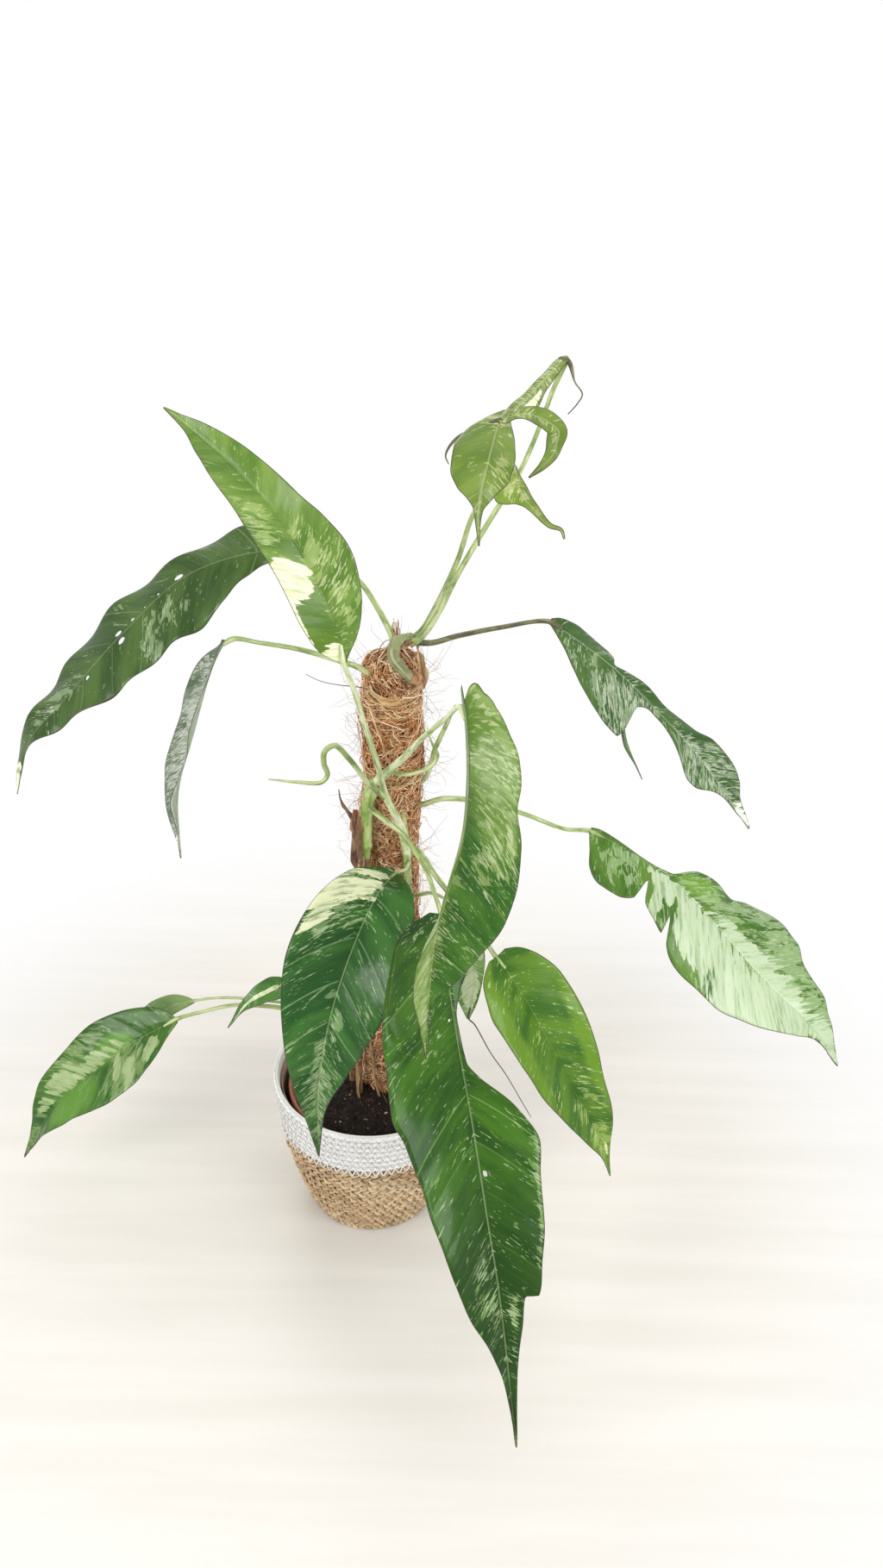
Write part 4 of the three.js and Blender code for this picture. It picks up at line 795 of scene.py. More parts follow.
LEAVES = {
    "leaf_01": dict(
        petiole=[(28, -5, 326), (26, -10, 348), (21, -20, 371), (13, -27, 395), (8, -31, 420),
                 (1, -34, 447), (-6, -38, 476), (-12, -43, 498), (-13, -44, 509)], girth=SHEATHED,
        blades=[dict(
            mid=[(-12, -42, 497), (-17, -45, 525), (-43, -38, 578), (-75, -24, 611), (-119, -4, 642)],
            face=[(0, -0.1, -0.9, 0.3), (1, 0.3, -0.75, 0.6)],
            right=[(0, 2), (0.05, 7), (0.1, 13), (0.15, 19), (0.2, 24), (0.28, 28), (0.4, 23.5), (0.5, 18),
                   (0.7, 14), (0.85, 8), (0.95, 2.5), (1, 0.5)],
            left=[(0, 2), (0.03, 8), (0.06, 13), (0.12, 18), (0.2, 21), (0.45, 22), (0.6, 19.5), (0.7, 17),
                  (0.8, 11), (0.9, 3.5), (1, 0.5)],
            wave=(1.5, 2, 0))]),
    "leaf_02": dict(
        petiole=[(19, 0, 490), (15, 9, 497), (7, 22, 507), (-6, 32, 523), (-26, 38, 536), (-45, 40, 541),
                 (-57, 41, 541)], girth=PETIOLE,
        blades=[dict(
            mid=[(-45, 40, 542), (-81, 42, 539), (-125, 38, 523), (-169, 26, 485), (-206, 10, 446),
                 (-235, -4, 414), (-244, -12, 380)],
            face=[(0, -0.1, -0.55, 0.83), (1, -0.7, -0.55, 0.45)],
            fold=[(0, -6), (1, -6)],
            right=[(0, 1), (0.05, 9), (0.1, 22), (0.15, 26), (0.25, 19), (0.35, 22), (0.45, 29), (0.6, 28),
                   (0.7, 25), (0.8, 17), (0.9, 9), (1, 0.5)],
            left=[(0, 1), (0.05, 7), (0.1, 9), (0.15, 18), (0.2, 30), (0.3, 39), (0.4, 35), (0.55, 32),
                  (0.65, 24), (0.75, 15), (0.85, 7), (0.93, 2.5), (1, 0.5)],
            wave=(2.6, 6, 0.1))]),
    "leaf_03": dict(
        petiole=[(3, 10, 466), (-8, 6, 474), (-18, 2, 479), (-43, -4, 489), (-70, -8, 495), (-86, -10, 498),
                 (-93, -11, 494)], girth=PETIOLE,
        blades=[dict(
            mid=[(-92, -10, 497), (-101, -14, 479), (-115, -22, 435), (-127, -30, 394), (-128, -35, 345)],
            face=[(0, -0.9, -0.3, 0.3), (1, -0.9, -0.4, 0)],
            right=[(0, 1), (0.05, 6), (0.1, 12), (0.2, 20), (0.3, 22), (0.5, 21), (0.65, 19), (0.75, 15),
                   (0.85, 10), (0.93, 4), (1, 0.5)],
            left=[(0, 1), (0.05, 6), (0.1, 12), (0.2, 19), (0.3, 21), (0.5, 20), (0.65, 18), (0.75, 14),
                  (0.85, 9), (0.93, 4), (1, 0.5)],
            droop=2, wave=(1, 3, 0.3))]),
    "leaf_04": dict(
        petiole=[(28, 4, 491), (35, 5, 496), (45, 7, 510), (58, 11, 537), (77, 18, 570), (95, 26, 599),
                 (104, 31, 619), (114, 35, 648), (121, 31, 669), (117, 24, 668)], girth=PETIOLE,
        blades=[dict(
            mid=[(120, 28, 671), (113, 18, 665), (106, 8, 660), (96, -8, 653), (84, -30, 647),
                 (80, -38, 644)],
            face=[(0, -0.5, -0.5, 0.7), (1, -0.2, -0.3, 0.9)],
            fold_right=[(0, 20), (1, 10)], fold_left=[(0, -30), (1, -10)], sweep=[(0, 0.4), (1, 0.2)],
            right=[(0, 3), (0.1, 4), (0.5, 3), (1, 3)],
            left=[(0, 3), (0.2, 4.5), (0.4, 6.5), (0.68, 11), (0.85, 8), (1, 3.5)],
            droop=1), dict(
            mid=[(85, -27, 648), (79, -38, 643), (75, -54, 634), (73, -63, 628), (69, -73, 611),
                 (68, -76, 601), (69, -78, 584)],
            face=[(0, 0, -0.35, 0.9), (0.4, 0, -0.75, 0.6), (1, 0.05, -0.95, 0.3)],
            fold=[(0, 12), (1, 12)], sweep=[(0, 0), (0.3, 0.5), (0.8, 0.5), (1, 0.2)],
            right=[(0, 3), (0.12, 9), (0.22, 17), (0.35, 21), (0.5, 20), (0.62, 14), (0.7, 7), (0.78, 2.5),
                   (0.9, 1.2), (1, 0.5)],
            left=[(0, 3), (0.1, 6), (0.25, 12), (0.4, 15), (0.52, 14.5), (0.62, 10), (0.7, 6), (0.78, 2.5),
                  (0.9, 1.2), (1, 0.5)],
            droop=7, wave=(0.8, 2, 0)), dict(
            mid=[(83, -33, 646), (92, -33, 648), (100, -34, 647), (108, -37, 644), (113, -40, 640),
                 (112, -43, 634), (110, -45, 628), (105, -46, 622), (97, -46, 615)],
            face=[(0, 0, -0.5, 0.85), (0.5, 0.1, -0.7, 0.7), (1, 0.4, -0.8, 0.5)],
            fold=[(0, 8), (1, 8)], sweep=[(0, 0.3), (1, 0.3)],
            right=[(0, 3), (0.12, 4.5), (0.3, 7), (0.5, 7), (0.7, 5), (0.85, 2.5), (1, 0.5)],
            left=[(0, 3), (0.12, 5), (0.3, 6.5), (0.5, 5), (0.65, 3.5), (0.85, 2), (1, 0.5)],
            droop=1)],
        threads=[([(80, -35, 645), (75, -38, 644), (66, -36, 639), (57, -30, 634), (51, -26, 627),
                   (49, -24, 621), (51, -26, 617)],
                  [(0, 2), (0.5, 2), (0.8, 1.1), (1, 0.5)]),
                 ([(117, 25, 669), (122, 29, 668), (124, 30, 665), (127, 28, 656), (132, 26, 649),
                   (129, 26, 643), (124, 26, 637)],
                  [(0, 3), (0.25, 2.2), (0.45, 0.8), (1, 0.5)])]),
    "leaf_05": dict(
        petiole=[(30, 12, 490), (42, 16, 488), (59, 14, 494), (87, 8, 503), (118, 0, 511), (127, -3, 507)],
        girth=PETIOLE,
        blades=[dict(
            mid=[(119, 0, 511), (140, -6, 499), (164, -14, 483), (187, -22, 463), (211, -30, 441),
                 (232, -36, 417), (257, -44, 384)],
            face=[(0, 0.45, -0.45, 0.8), (1, 0.6, -0.55, 0.5)],
            fold=[(0, -8), (1, 5)],
            right=[(0, 1), (0.06, 7), (0.1, 12), (0.15, 21), (0.2, 30), (0.25, 36), (0.3, 39), (0.35, 38),
                   (0.375, 30), (0.4, 9), (0.45, 4), (0.5, 5), (0.55, 9), (0.6, 15), (0.66, 21), (0.7, 20),
                   (0.8, 8), (0.88, 2.5), (1, 0.5)],
            left=[(0, 1), (0.03, 7), (0.06, 11), (0.1, 14), (0.2, 13), (0.24, 10), (0.26, 4), (0.3, 6),
                  (0.45, 10), (0.55, 14), (0.6, 15), (0.66, 21), (0.75, 23), (0.83, 20), (0.9, 10),
                  (0.96, 4), (1, 0.5)],
            wave=(1.5, 3, 0.2))],
        threads=[([(166, -39, 460), (167, -43, 452), (169, -45, 445), (173, -45, 437), (177, -45, 430),
                   (182, -45, 420)],
                  [(0, 2), (0.4, 2.4), (0.7, 0.9), (1, 0.5)])]),
    "leaf_15": dict(
        petiole=[(27, 14, 490), (35, 16, 496), (44, 20, 511), (58, 23, 543), (67, 20, 574), (79, 15, 596),
                 (88, 9, 608), (91, 3, 609), (93, -2, 605)], girth=PETIOLE,
        blades=[dict(
            mid=[(91, 2, 609), (93, -6, 602), (97, -12, 595), (104, -16, 588), (113, -20, 580),
                 (120, -22, 578), (122, -24, 573)],
            face=[(0, -0.3, -0.5, 0.8), (0.4, -0.2, -0.9, 0.4), (1, -0.3, -0.9, 0.4)],
            right=[(0, 1.5), (0.06, 8), (0.12, 13), (0.2, 17.5), (0.25, 17), (0.3, 12), (0.36, 6.5),
                   (0.45, 3.5), (0.6, 2.2), (0.8, 1.4), (1, 0.6)],
            left=[(0, 1.5), (0.1, 3), (0.3, 5), (0.45, 4), (0.6, 2.7), (0.8, 1.6), (1, 0.6)],
            droop=1)]),
}
print(len(LEAVES), "leaves so far")

# %% Table of leaves: the middle
LEAVES |= {
    "leaf_06": dict(
        petiole=[(26, 16, 360), (39, 12, 366), (53, 6, 374), (81, 2, 374), (111, 0, 366), (139, -2, 356),
                 (157, -6, 357), (167, -9, 353)], girth=PETIOLE,
        blades=[dict(
            mid=[(157, -6, 358), (193, -18, 342), (225, -30, 322), (257, -42, 291), (287, -54, 262),
                 (318, -62, 234), (344, -66, 199)],
            face=[(0, 0.4, -0.45, 0.8), (1, 0.5, -0.6, 0.55)],
            fold=[(0, -8), (1, 5)],
            right=[(0, 2), (0.03, 13), (0.06, 25), (0.1, 33), (0.15, 35), (0.185, 30), (0.2, 12),
                   (0.215, 28), (0.25, 34), (0.28, 37), (0.29, 22), (0.305, 40), (0.35, 46), (0.4, 48),
                   (0.5, 46), (0.6, 37), (0.7, 27), (0.8, 14), (0.88, 4), (1, 0.5)],
            left=[(0, 1), (0.03, 3), (0.2, 4), (0.25, 6), (0.29, 24), (0.35, 32), (0.4, 34), (0.43, 44),
                  (0.5, 52), (0.6, 50), (0.7, 36), (0.8, 24), (0.9, 15), (0.95, 8), (1, 0.5)],
            wave=(2, 4, 0.1))]),
    "leaf_07": dict(
        petiole=[(27, -5, 332), (35, -4, 336), (40, -12, 334), (47, -24, 330), (54, -34, 326),
                 (73, -48, 309), (90, -60, 288), (98, -65, 279)], girth=PETIOLE,
        blades=[dict(
            mid=[(92, -62, 287), (110, -72, 264), (129, -84, 234), (147, -94, 200), (167, -101, 166),
                 (181, -104, 123)],
            face=[(0, 0.3, -0.7, 0.65), (1, 0.5, -0.7, 0.4)],
            right=[(0, 8), (0.03, 17), (0.06, 24), (0.1, 29), (0.17, 34), (0.25, 34), (0.4, 30), (0.55, 24),
                   (0.7, 17), (0.8, 11), (0.9, 4), (1, 0.5)],
            left=[(0, 8), (0.03, 16), (0.06, 21), (0.1, 26), (0.17, 32), (0.25, 33.5), (0.4, 30),
                  (0.55, 25), (0.65, 20), (0.75, 13), (0.85, 6), (0.93, 2.5), (1, 0.5)],
            wave=(1, 3, 0))]),
    "leaf_08": dict(
        petiole=[(2, -9, 391), (6, -14, 397), (12, -18, 405), (20, -26, 417), (27, -36, 429),
                 (38, -56, 452), (52, -76, 475), (61, -90, 490), (64, -99, 486)], girth=SHEATHED,
        blades=[dict(
            mid=[(63, -92, 493), (65, -106, 479), (66, -120, 455), (64, -130, 426), (56, -140, 394),
                 (49, -148, 359), (46, -152, 318), (45, -152, 273)],
            face=[(0, 0.55, -0.6, 0.6), (0.3, 0.55, -0.8, 0.2), (1, 0.4, -0.9, 0)],
            fold_right=[(0, 56), (0.5, 58), (0.62, 40), (0.75, 22), (1, 20)],
            sweep=[(0, -4.5), (0.035, -1.7), (0.07, -0.9), (0.12, -0.4), (0.3, 0.35), (0.8, 0.45),
                   (1, 0.2)],
            right=[(0, 3), (0.05, 13), (0.15, 26), (0.3, 31), (0.5, 31), (0.6, 26.5), (0.7, 18.5),
                   (0.8, 11.5), (0.9, 5), (1, 0.5)],
            left=[(0, 3.5), (0.035, 13), (0.07, 21), (0.12, 28.5), (0.17, 34.5), (0.21, 36), (0.25, 34),
                  (0.3, 40.5), (0.38, 44), (0.48, 42), (0.55, 38), (0.62, 31), (0.7, 20.5), (0.76, 11),
                  (0.8, 4), (0.9, 1.5), (1, 0.5)],
            wave=(1.5, 2, 0.4))]),
    "leaf_09": dict(
        petiole=[(28, -4, 320), (29, -12, 331), (27, -24, 333), (22, -36, 338), (16, -47, 339)], girth=SLIM,
        blades=[dict(
            mid=[(21, -38, 338), (12, -58, 339), (0, -82, 324), (-11, -102, 300), (-21, -114, 264),
                 (-28, -122, 214), (-29, -124, 157)],
            face=[(0, 0, -0.3, 0.95), (0.3, -0.1, -0.7, 0.7), (1, 0, -0.95, 0.3)],
            right=[(0, 3), (0.03, 11), (0.06, 17), (0.1, 25), (0.15, 33), (0.2, 38), (0.28, 41), (0.4, 37),
                   (0.55, 28), (0.7, 18), (0.85, 8), (1, 0.5)],
            left=[(0, 3), (0.05, 12), (0.1, 24), (0.15, 34), (0.2, 40), (0.27, 42), (0.4, 37), (0.55, 27),
                  (0.65, 19), (0.75, 10), (0.85, 4), (1, 0.5)],
            wave=(1, 3, 0))]),
    "leaf_10": dict(
        petiole=[(0, -9, 374), (6, -20, 376), (14, -31, 376), (26, -42, 372), (34, -52, 366),
                 (42, -62, 357), (49, -72, 342), (53, -77, 331), (55, -83, 320)], girth=PETIOLE,
        blades=[dict(
            mid=[(53, -76, 332), (57, -92, 301), (65, -118, 262), (75, -158, 230), (86, -200, 186),
                 (94, -224, 150), (109, -262, 47)],
            face=[(0, 0.5, -0.6, 0.7), (0.35, 0.4, -0.7, 0.65), (1, 0.2, -0.8, 0.6)],
            right=[(0, 12), (0.03, 33), (0.06, 45), (0.1, 52.5), (0.15, 60), (0.22, 64), (0.3, 62),
                   (0.35, 55), (0.42, 49), (0.5, 42), (0.6, 33.5), (0.7, 23), (0.8, 9.5), (0.87, 4),
                   (1, 0.5)],
            left=[(0, 5), (0.03, 11), (0.06, 15.5), (0.1, 16.5), (0.15, 8), (0.2, 2.5), (0.28, 3),
                  (0.31, 10), (0.35, 30), (0.4, 43), (0.46, 40), (0.55, 36.5), (0.62, 30), (0.68, 25),
                  (0.69, 16), (0.75, 12.5), (0.85, 6), (0.92, 3), (1, 0.5)],
            wave=(1.5, 3, 0.3))]),
    "leaf_14": dict(
        petiole=[(28, -3, 292), (33, 0, 294), (39, -3, 298), (47, -6, 301), (64, -10, 292), (68, -13, 281)],
        girth=SLIM,
        blades=[dict(
            mid=[(64, -10, 292), (72, -17, 268), (78, -23, 241), (77, -27, 220), (75, -29, 204)],
            face=[(0, 0.1, -0.8, 0.5), (1, 0.1, -0.9, 0.3)],
            fold=[(0, 12), (1, 12)],
            right=[(0, 2), (0.1, 10), (0.3, 16), (0.5, 16), (0.7, 13), (0.85, 8), (1, 1)],
            left=[(0, 2), (0.1, 8), (0.25, 12), (0.45, 10), (0.6, 7), (0.8, 5), (1, 1)],
            droop=1)],
        threads=[([(76, -28, 214), (75, -29, 205), (80, -28, 198), (93, -28, 171), (106, -28, 149),
                   (118, -28, 125), (128, -28, 105)],
                  [(0, 1.2), (0.2, 0.8), (1, 0.5)])]),
}
print(len(LEAVES), "leaves so far")

# %% Table of leaves: the low leaves
LEAVES |= {
    "leaf_11": dict(
        petiole=[(-15, 10, 152), (-49, 10, 172), (-71, 10, 178), (-86, 10, 180), (-110, 10, 180),
                 (-130, 9, 175), (-155, 6, 168), (-165, 4, 162)], girth=PETIOLE,
        blades=[dict(
            mid=[(-155, 6, 167), (-192, 0, 147), (-223, -6, 122), (-256, -12, 92), (-287, -18, 38)],
            face=[(0, -0.3, -0.6, 0.7), (1, -0.6, -0.6, 0.5)],
            right=[(0, 2), (0.03, 9), (0.06, 15), (0.1, 20), (0.2, 28), (0.3, 32.5), (0.4, 31), (0.55, 26),
                   (0.7, 18), (0.8, 11), (0.9, 5), (1, 0.5)],
            left=[(0, 2), (0.03, 7), (0.06, 13), (0.1, 22), (0.15, 31), (0.22, 37), (0.3, 38), (0.4, 35),
                  (0.55, 27), (0.7, 19), (0.8, 11), (0.9, 3.5), (1, 0.5)],
            wave=(1, 3, 0))]),
    "leaf_12": dict(
        petiole=[(-15, 12, 140), (-30, 26, 150), (-52, 34, 158), (-94, 36, 165), (-126, 36, 166),
                 (-147, 34, 164), (-155, 33, 162)], girth=SLIM,
        blades=[dict(
            mid=[(-147, 34, 164), (-164, 32, 160), (-187, 30, 145), (-210, 28, 123)],
            face=[(0, -0.1, -0.3, 0.9), (1, -0.5, -0.3, 0.8)],
            fold=[(0, 12), (1, 12)],
            right=[(0, 1), (0.1, 6), (0.25, 11), (0.45, 13), (0.65, 10), (0.85, 4), (1, 0.5)],
            left=[(0, 1), (0.1, 6), (0.25, 11), (0.45, 13), (0.65, 10), (0.85, 4), (1, 0.5)],
            droop=2)]),
    "leaf_13": dict(
        petiole=[(-13, 10, 182), (-27, 4, 188), (-41, 7, 197), (-65, 14, 203), (-72, 10, 200)], girth=SLIM,
        blades=[dict(
            mid=[(-65, 14, 202), (-81, 6, 197), (-95, 2, 190), (-113, -2, 167)],
            face=[(0, -0.1, -0.6, 0.75), (1, -0.6, -0.5, 0.6)],
            fold=[(0, 15), (1, 15)],
            right=[(0, 1), (0.1, 7), (0.2, 10), (0.35, 9), (0.5, 6), (0.7, 4), (0.9, 1.5), (1, 0.5)],
            left=[(0, 1), (0.1, 9), (0.17, 11), (0.3, 8), (0.5, 6), (0.65, 3), (0.8, 1.5), (1, 0.5)],
            droop=1)]),
}
print(len(LEAVES), "leaves so far")

# %% [markdown]
# ## What each leaf looks like
#
# Each leaf has its own greens and its own marks. A patch is an oval in leaf terms: its share of
# the midrib, its share of the half width (minus is the left half), and half its size both ways.
# The shader tears its edge along the veins. Windows are given in millimetres off the midrib.

# %% Looks of the leaves
LOOKS = {
    "leaf_01": dict(
        stem="fresh", sheath="cream", quilt=0.4,
        paint=dict(deep="#517526", light="#769442", lime="#8da836", pale="#a5b96f", cream="#f3f1cf",
                   marbling=0.6, flecks=0.45, midrib=0.05),
        cream=[(0.3, -0.72, 0.075, 0.6), (0.2, -1.05, 0.12, 0.16), (0.02, -0.5, 0.05, 0.75)],
        pale=[(0.36, 0.3, 0.14, 0.4), (0.2, 0.5, 0.14, 0.5), (0.52, -0.6, 0.1, 0.4)]),
    "leaf_02": dict(
        stem="fresh", quilt=0.5,
        paint=dict(deep="#304b1c", light="#49642c", pale="#91a87c", marbling=0.45, flecks=0.3, midrib=0.15),
        cream=[(0.97, 0, 0.05, 1.2)],
        pale=[(0.38, -0.4, 0.07, 0.3), (0.44, -0.75, 0.03, 0.5), (0.74, 0.3, 0.1, 0.4)],
        windows=[(0.31, 2.7, 3.4, 1.9), (0.375, 2.3, 1.2, 1.0), (0.42, 2.4, 1.0, 0.9),
                 (0.463, 2.6, 1.9, 1.2), (0.512, 3.0, 2.9, 1.9), (0.515, -4.0, 3.2, 2.0),
                 (0.64, -3.4, 2.0, 1.3)]),
    "leaf_03": dict(
        stem="fresh", quilt=1.4,
        paint=dict(deep="#4f644a", light="#798671", pale="#b0b6a6", cream="#f1f1e8", marbling=0.9,
                   flecks=1.1, ragged=1.4),
        cream=[(0.72, -0.85, 0.2, 0.12), (0.95, 0, 0.07, 0.9)],
        pale=[(0.45, 0, 0.45, 0.8)]),
    "leaf_04": dict(
        stem="fresh",
        paint=dict(deep="#5c7729", light="#768d3c", pale="#a9af72", cream="#eff0cc", marbling=0.45,
                   flecks=0.6, ragged=1.5),
        blades=[dict(cream=[(0.6, -0.6, 0.25, 0.2)], pale=[(0.5, 0, 0.5, 1.2)]),
                dict(pale=[(0.1, 0, 0.12, 1), (0.5, -0.5, 0.15, 0.4)]),
                dict(pale=[(0.1, 0, 0.15, 1), (0.45, 0.3, 0.2, 0.3)])]),
    "leaf_05": dict(
        stem="olive", thread="tip", quilt=1.2,
        paint=dict(deep="#2f531c", light="#4c6c31", pale="#97a984", cream="#eceee0", marbling=0.75,
                   flecks=0.85),
        cream=[(0.97, 0, 0.07, 1.2)],
        pale=[(0.35, 0.5, 0.15, 0.4), (0.78, 0.2, 0.2, 1.0), (0.1, 0.5, 0.08, 0.4), (0.9, 0, 0.12, 1.2)]),
    "leaf_06": dict(
        stem="fresh", quilt=2.0,
        paint=dict(deep="#3a6418", light="#5e8232", lime="#729c34", pale="#a3bd88", cream="#bccca9",
                   marbling=0.85, flecks=0.7, ragged=1.2, midrib=0.15),
        cream=[(0.28, 0.2, 0.09, 0.3), (0.42, 0.35, 0.14, 0.4), (0.56, 0.55, 0.12, 0.6),
               (0.72, 0.5, 0.18, 0.9), (0.62, -0.12, 0.2, 0.18), (0.24, 0.3, 0.018, 0.7),
               (0.92, 0, 0.1, 0.9)],
        lime=[(0.33, -0.5, 0.06, 0.3)],
        pale=[(0.68, -0.6, 0.36, 1.4), (0.12, 0.3, 0.05, 0.4)]),
    "leaf_07": dict(
        stem="fresh",
        paint=dict(deep="#336017", light="#587f20", lime="#678d1f", pale="#9fb862", cream="#e6edb0",
                   marbling=0.45, flecks=0.75, midrib=0.06),
        lime=[(0.22, 0.9, 0.3, 0.3), (0.42, -0.95, 0.25, 0.3), (0.9, 0, 0.15, 1.5)],
        cream=[(0.86, -0.4, 0.03, 0.2)],
        pale=[(0.66, 0.25, 0.05, 0.22), (0.58, -0.35, 0.04, 0.2), (0.85, 0, 0.1, 0.8)]),
    "leaf_08": dict(
        stem="cream", sheath="cream", quilt=1.8,
        paint=dict(deep="#275712", light="#477521", lime="#729338", pale="#99b069", cream="#eef0c8",
                   marbling=0.75, flecks=0.8, ragged=1.4),
        lime=[(0.12, -0.6, 0.2, 0.6), (0.6, 0.6, 0.35, 0.6)],
        # the pale patch at (0.34, -0.45) is a painted highlight: a sheen on the middle of the blade
        pale=[(0.14, -0.7, 0.16, 0.5), (0.34, -0.45, 0.07, 0.25), (0.65, 0.5, 0.3, 0.6)]),
    "leaf_09": dict(
        stem="fresh", quilt=1.3,
        paint=dict(deep="#1e4d19", light="#3a6c29", pale="#8dab76", cream="#e3e6bd", marbling=0.5,
                   flecks=0.7, ragged=2.2),
        cream=[(0.1, 0.45, 0.065, 0.42), (0.17, 0.85, 0.08, 0.3)],
        pale=[(0.15, 0.55, 0.11, 0.6), (0.5, -0.2, 0.05, 0.16), (0.62, 0.1, 0.06, 0.2),
              (0.8, -0.1, 0.17, 0.9)]),
    "leaf_10": dict(
        stem="fresh", quilt=1.3,
        # the dark lime colour and the lime patch over the tip half of this leaf are painted shade,
        # darkening the half towards the tip
        paint=dict(deep="#1d4703", light="#3b690c", lime="#173a03", pale="#7fa25c", cream="#dfe8bc",
                   marbling=0.35, flecks=0.75),
        lime=[(0.97, 0, 0.42, 1.8)],
        pale=[(0.7, 0.35, 0.07, 0.3), (0.74, -0.6, 0.06, 0.2), (0.5, -0.97, 0.12, 0.1)],
        windows=[(0.45, 6.5, 1.3, 0.8), (0.482, -3.2, 2.7, 1.3), (0.2, 4.6, 2.3, 1.2),
                 (0.168, 6.0, 1.1, 0.8)]),
    "leaf_11": dict(
        stem="fresh", quilt=1.8,
        paint=dict(deep="#265414", light="#487227", lime="#5f9030", pale="#869d64", cream="#9cb07c",
                   marbling=0.8, flecks=0.8, ragged=1.9, midrib=0.2),
        cream=[(0.46, 0.22, 0.2, 0.2), (0.6, 0.4, 0.14, 0.35), (0.14, -0.5, 0.045, 0.3),
               (0.24, -0.6, 0.03, 0.35), (0.29, -0.35, 0.02, 0.3)],
        lime=[(0.55, -0.5, 0.14, 0.5), (0.3, 0.2, 0.1, 0.3)],
        pale=[(0.25, -0.5, 0.1, 0.5), (0.4, 0.75, 0.14, 0.3), (0.9, 0, 0.12, 1)]),
    "leaf_12": dict(
        stem="fresh",
        paint=dict(deep="#628143", light="#7f9a5c", pale="#aebb91", marbling=0.3, flecks=0.3)),
    "leaf_13": dict(
        stem="fresh",
        paint=dict(deep="#2e6124", light="#517f38", pale="#a3b884", cream="#e6ecc6", flecks=0.5),
        cream=[(0.45, 0.05, 0.4, 0.22)]),
    "leaf_14": dict(
        stem="fresh", thread="olive",
        paint=dict(deep="#558a2e", light="#78a94c", pale="#b2cd8c", cream="#e6efcb", marbling=0.8,
                   flecks=1.0),
        cream=[(0.7, 0, 0.2, 0.7), (0.35, -0.6, 0.12, 0.3)],
        pale=[(0.5, 0, 0.5, 1)]),
    "leaf_15": dict(
        stem="fresh",
        paint=dict(deep="#708b31", light="#8ba246", pale="#c0c789", marbling=0.35, flecks=0.5),
        pale=[(0.3, 0, 0.3, 0.6)]),
}
print("looks for", len(LOOKS), "leaves")

# %% [markdown]
# ## Growing the leaves
#
# Every leaf becomes one object: its blades, its petiole and its thread-like tips. The petiole is
# a grooved tube with a swollen joint below the blade, where a real leaf turns to the light.

# %% Leaves


def grow_leaf(name, number):
    spec, looks = LEAVES[name], LOOKS[name]
    paint = leaf_material(name + "_paint", number * 0.37, **looks["paint"])
    materials = [paint, STEMS[looks["stem"]], STEMS[looks.get("sheath", looks["stem"])],
                 STEMS[looks.get("thread", "olive")]]
    parts = []
    for k, blade in enumerate(spec["blades"]):
        marks = looks["blades"][k] if "blades" in looks else looks
        parts.append(blade_part(blade, dict(marks, quilt=looks.get("quilt", 1.0)), number * 10 + k))
    parts.append(tube(spec["petiole"], spec["girth"], sides=14, groove=0.22,
                      swellings=[(0.95, 0.35, 3.5)], pitch=1.6, slot=2 if "sheath" in looks else 1))
    for points, girth in spec.get("threads", []):
        slender = [(share, max(0.3, radius * 0.65)) for share, radius in girth]
        parts.append(tube(points, slender, sides=8, pitch=1.2, slot=3))
    piece = build_piece("fine_" + name, parts, materials)
    take_over(piece, name)


for number, name in enumerate(sorted(LEAVES), start=1):
    grow_leaf(name, number)

# %% [markdown]
# ## Vines, scars and roots
#
# A climbing stem is a chain of internodes. At each node a leaf once stood, so a ring-shaped scar
# and a slight swelling remain, and brown roots leave there for the coir. Half way up, the main
# vine runs inside the coir and comes out again as a fat hook with a round, corky scar.

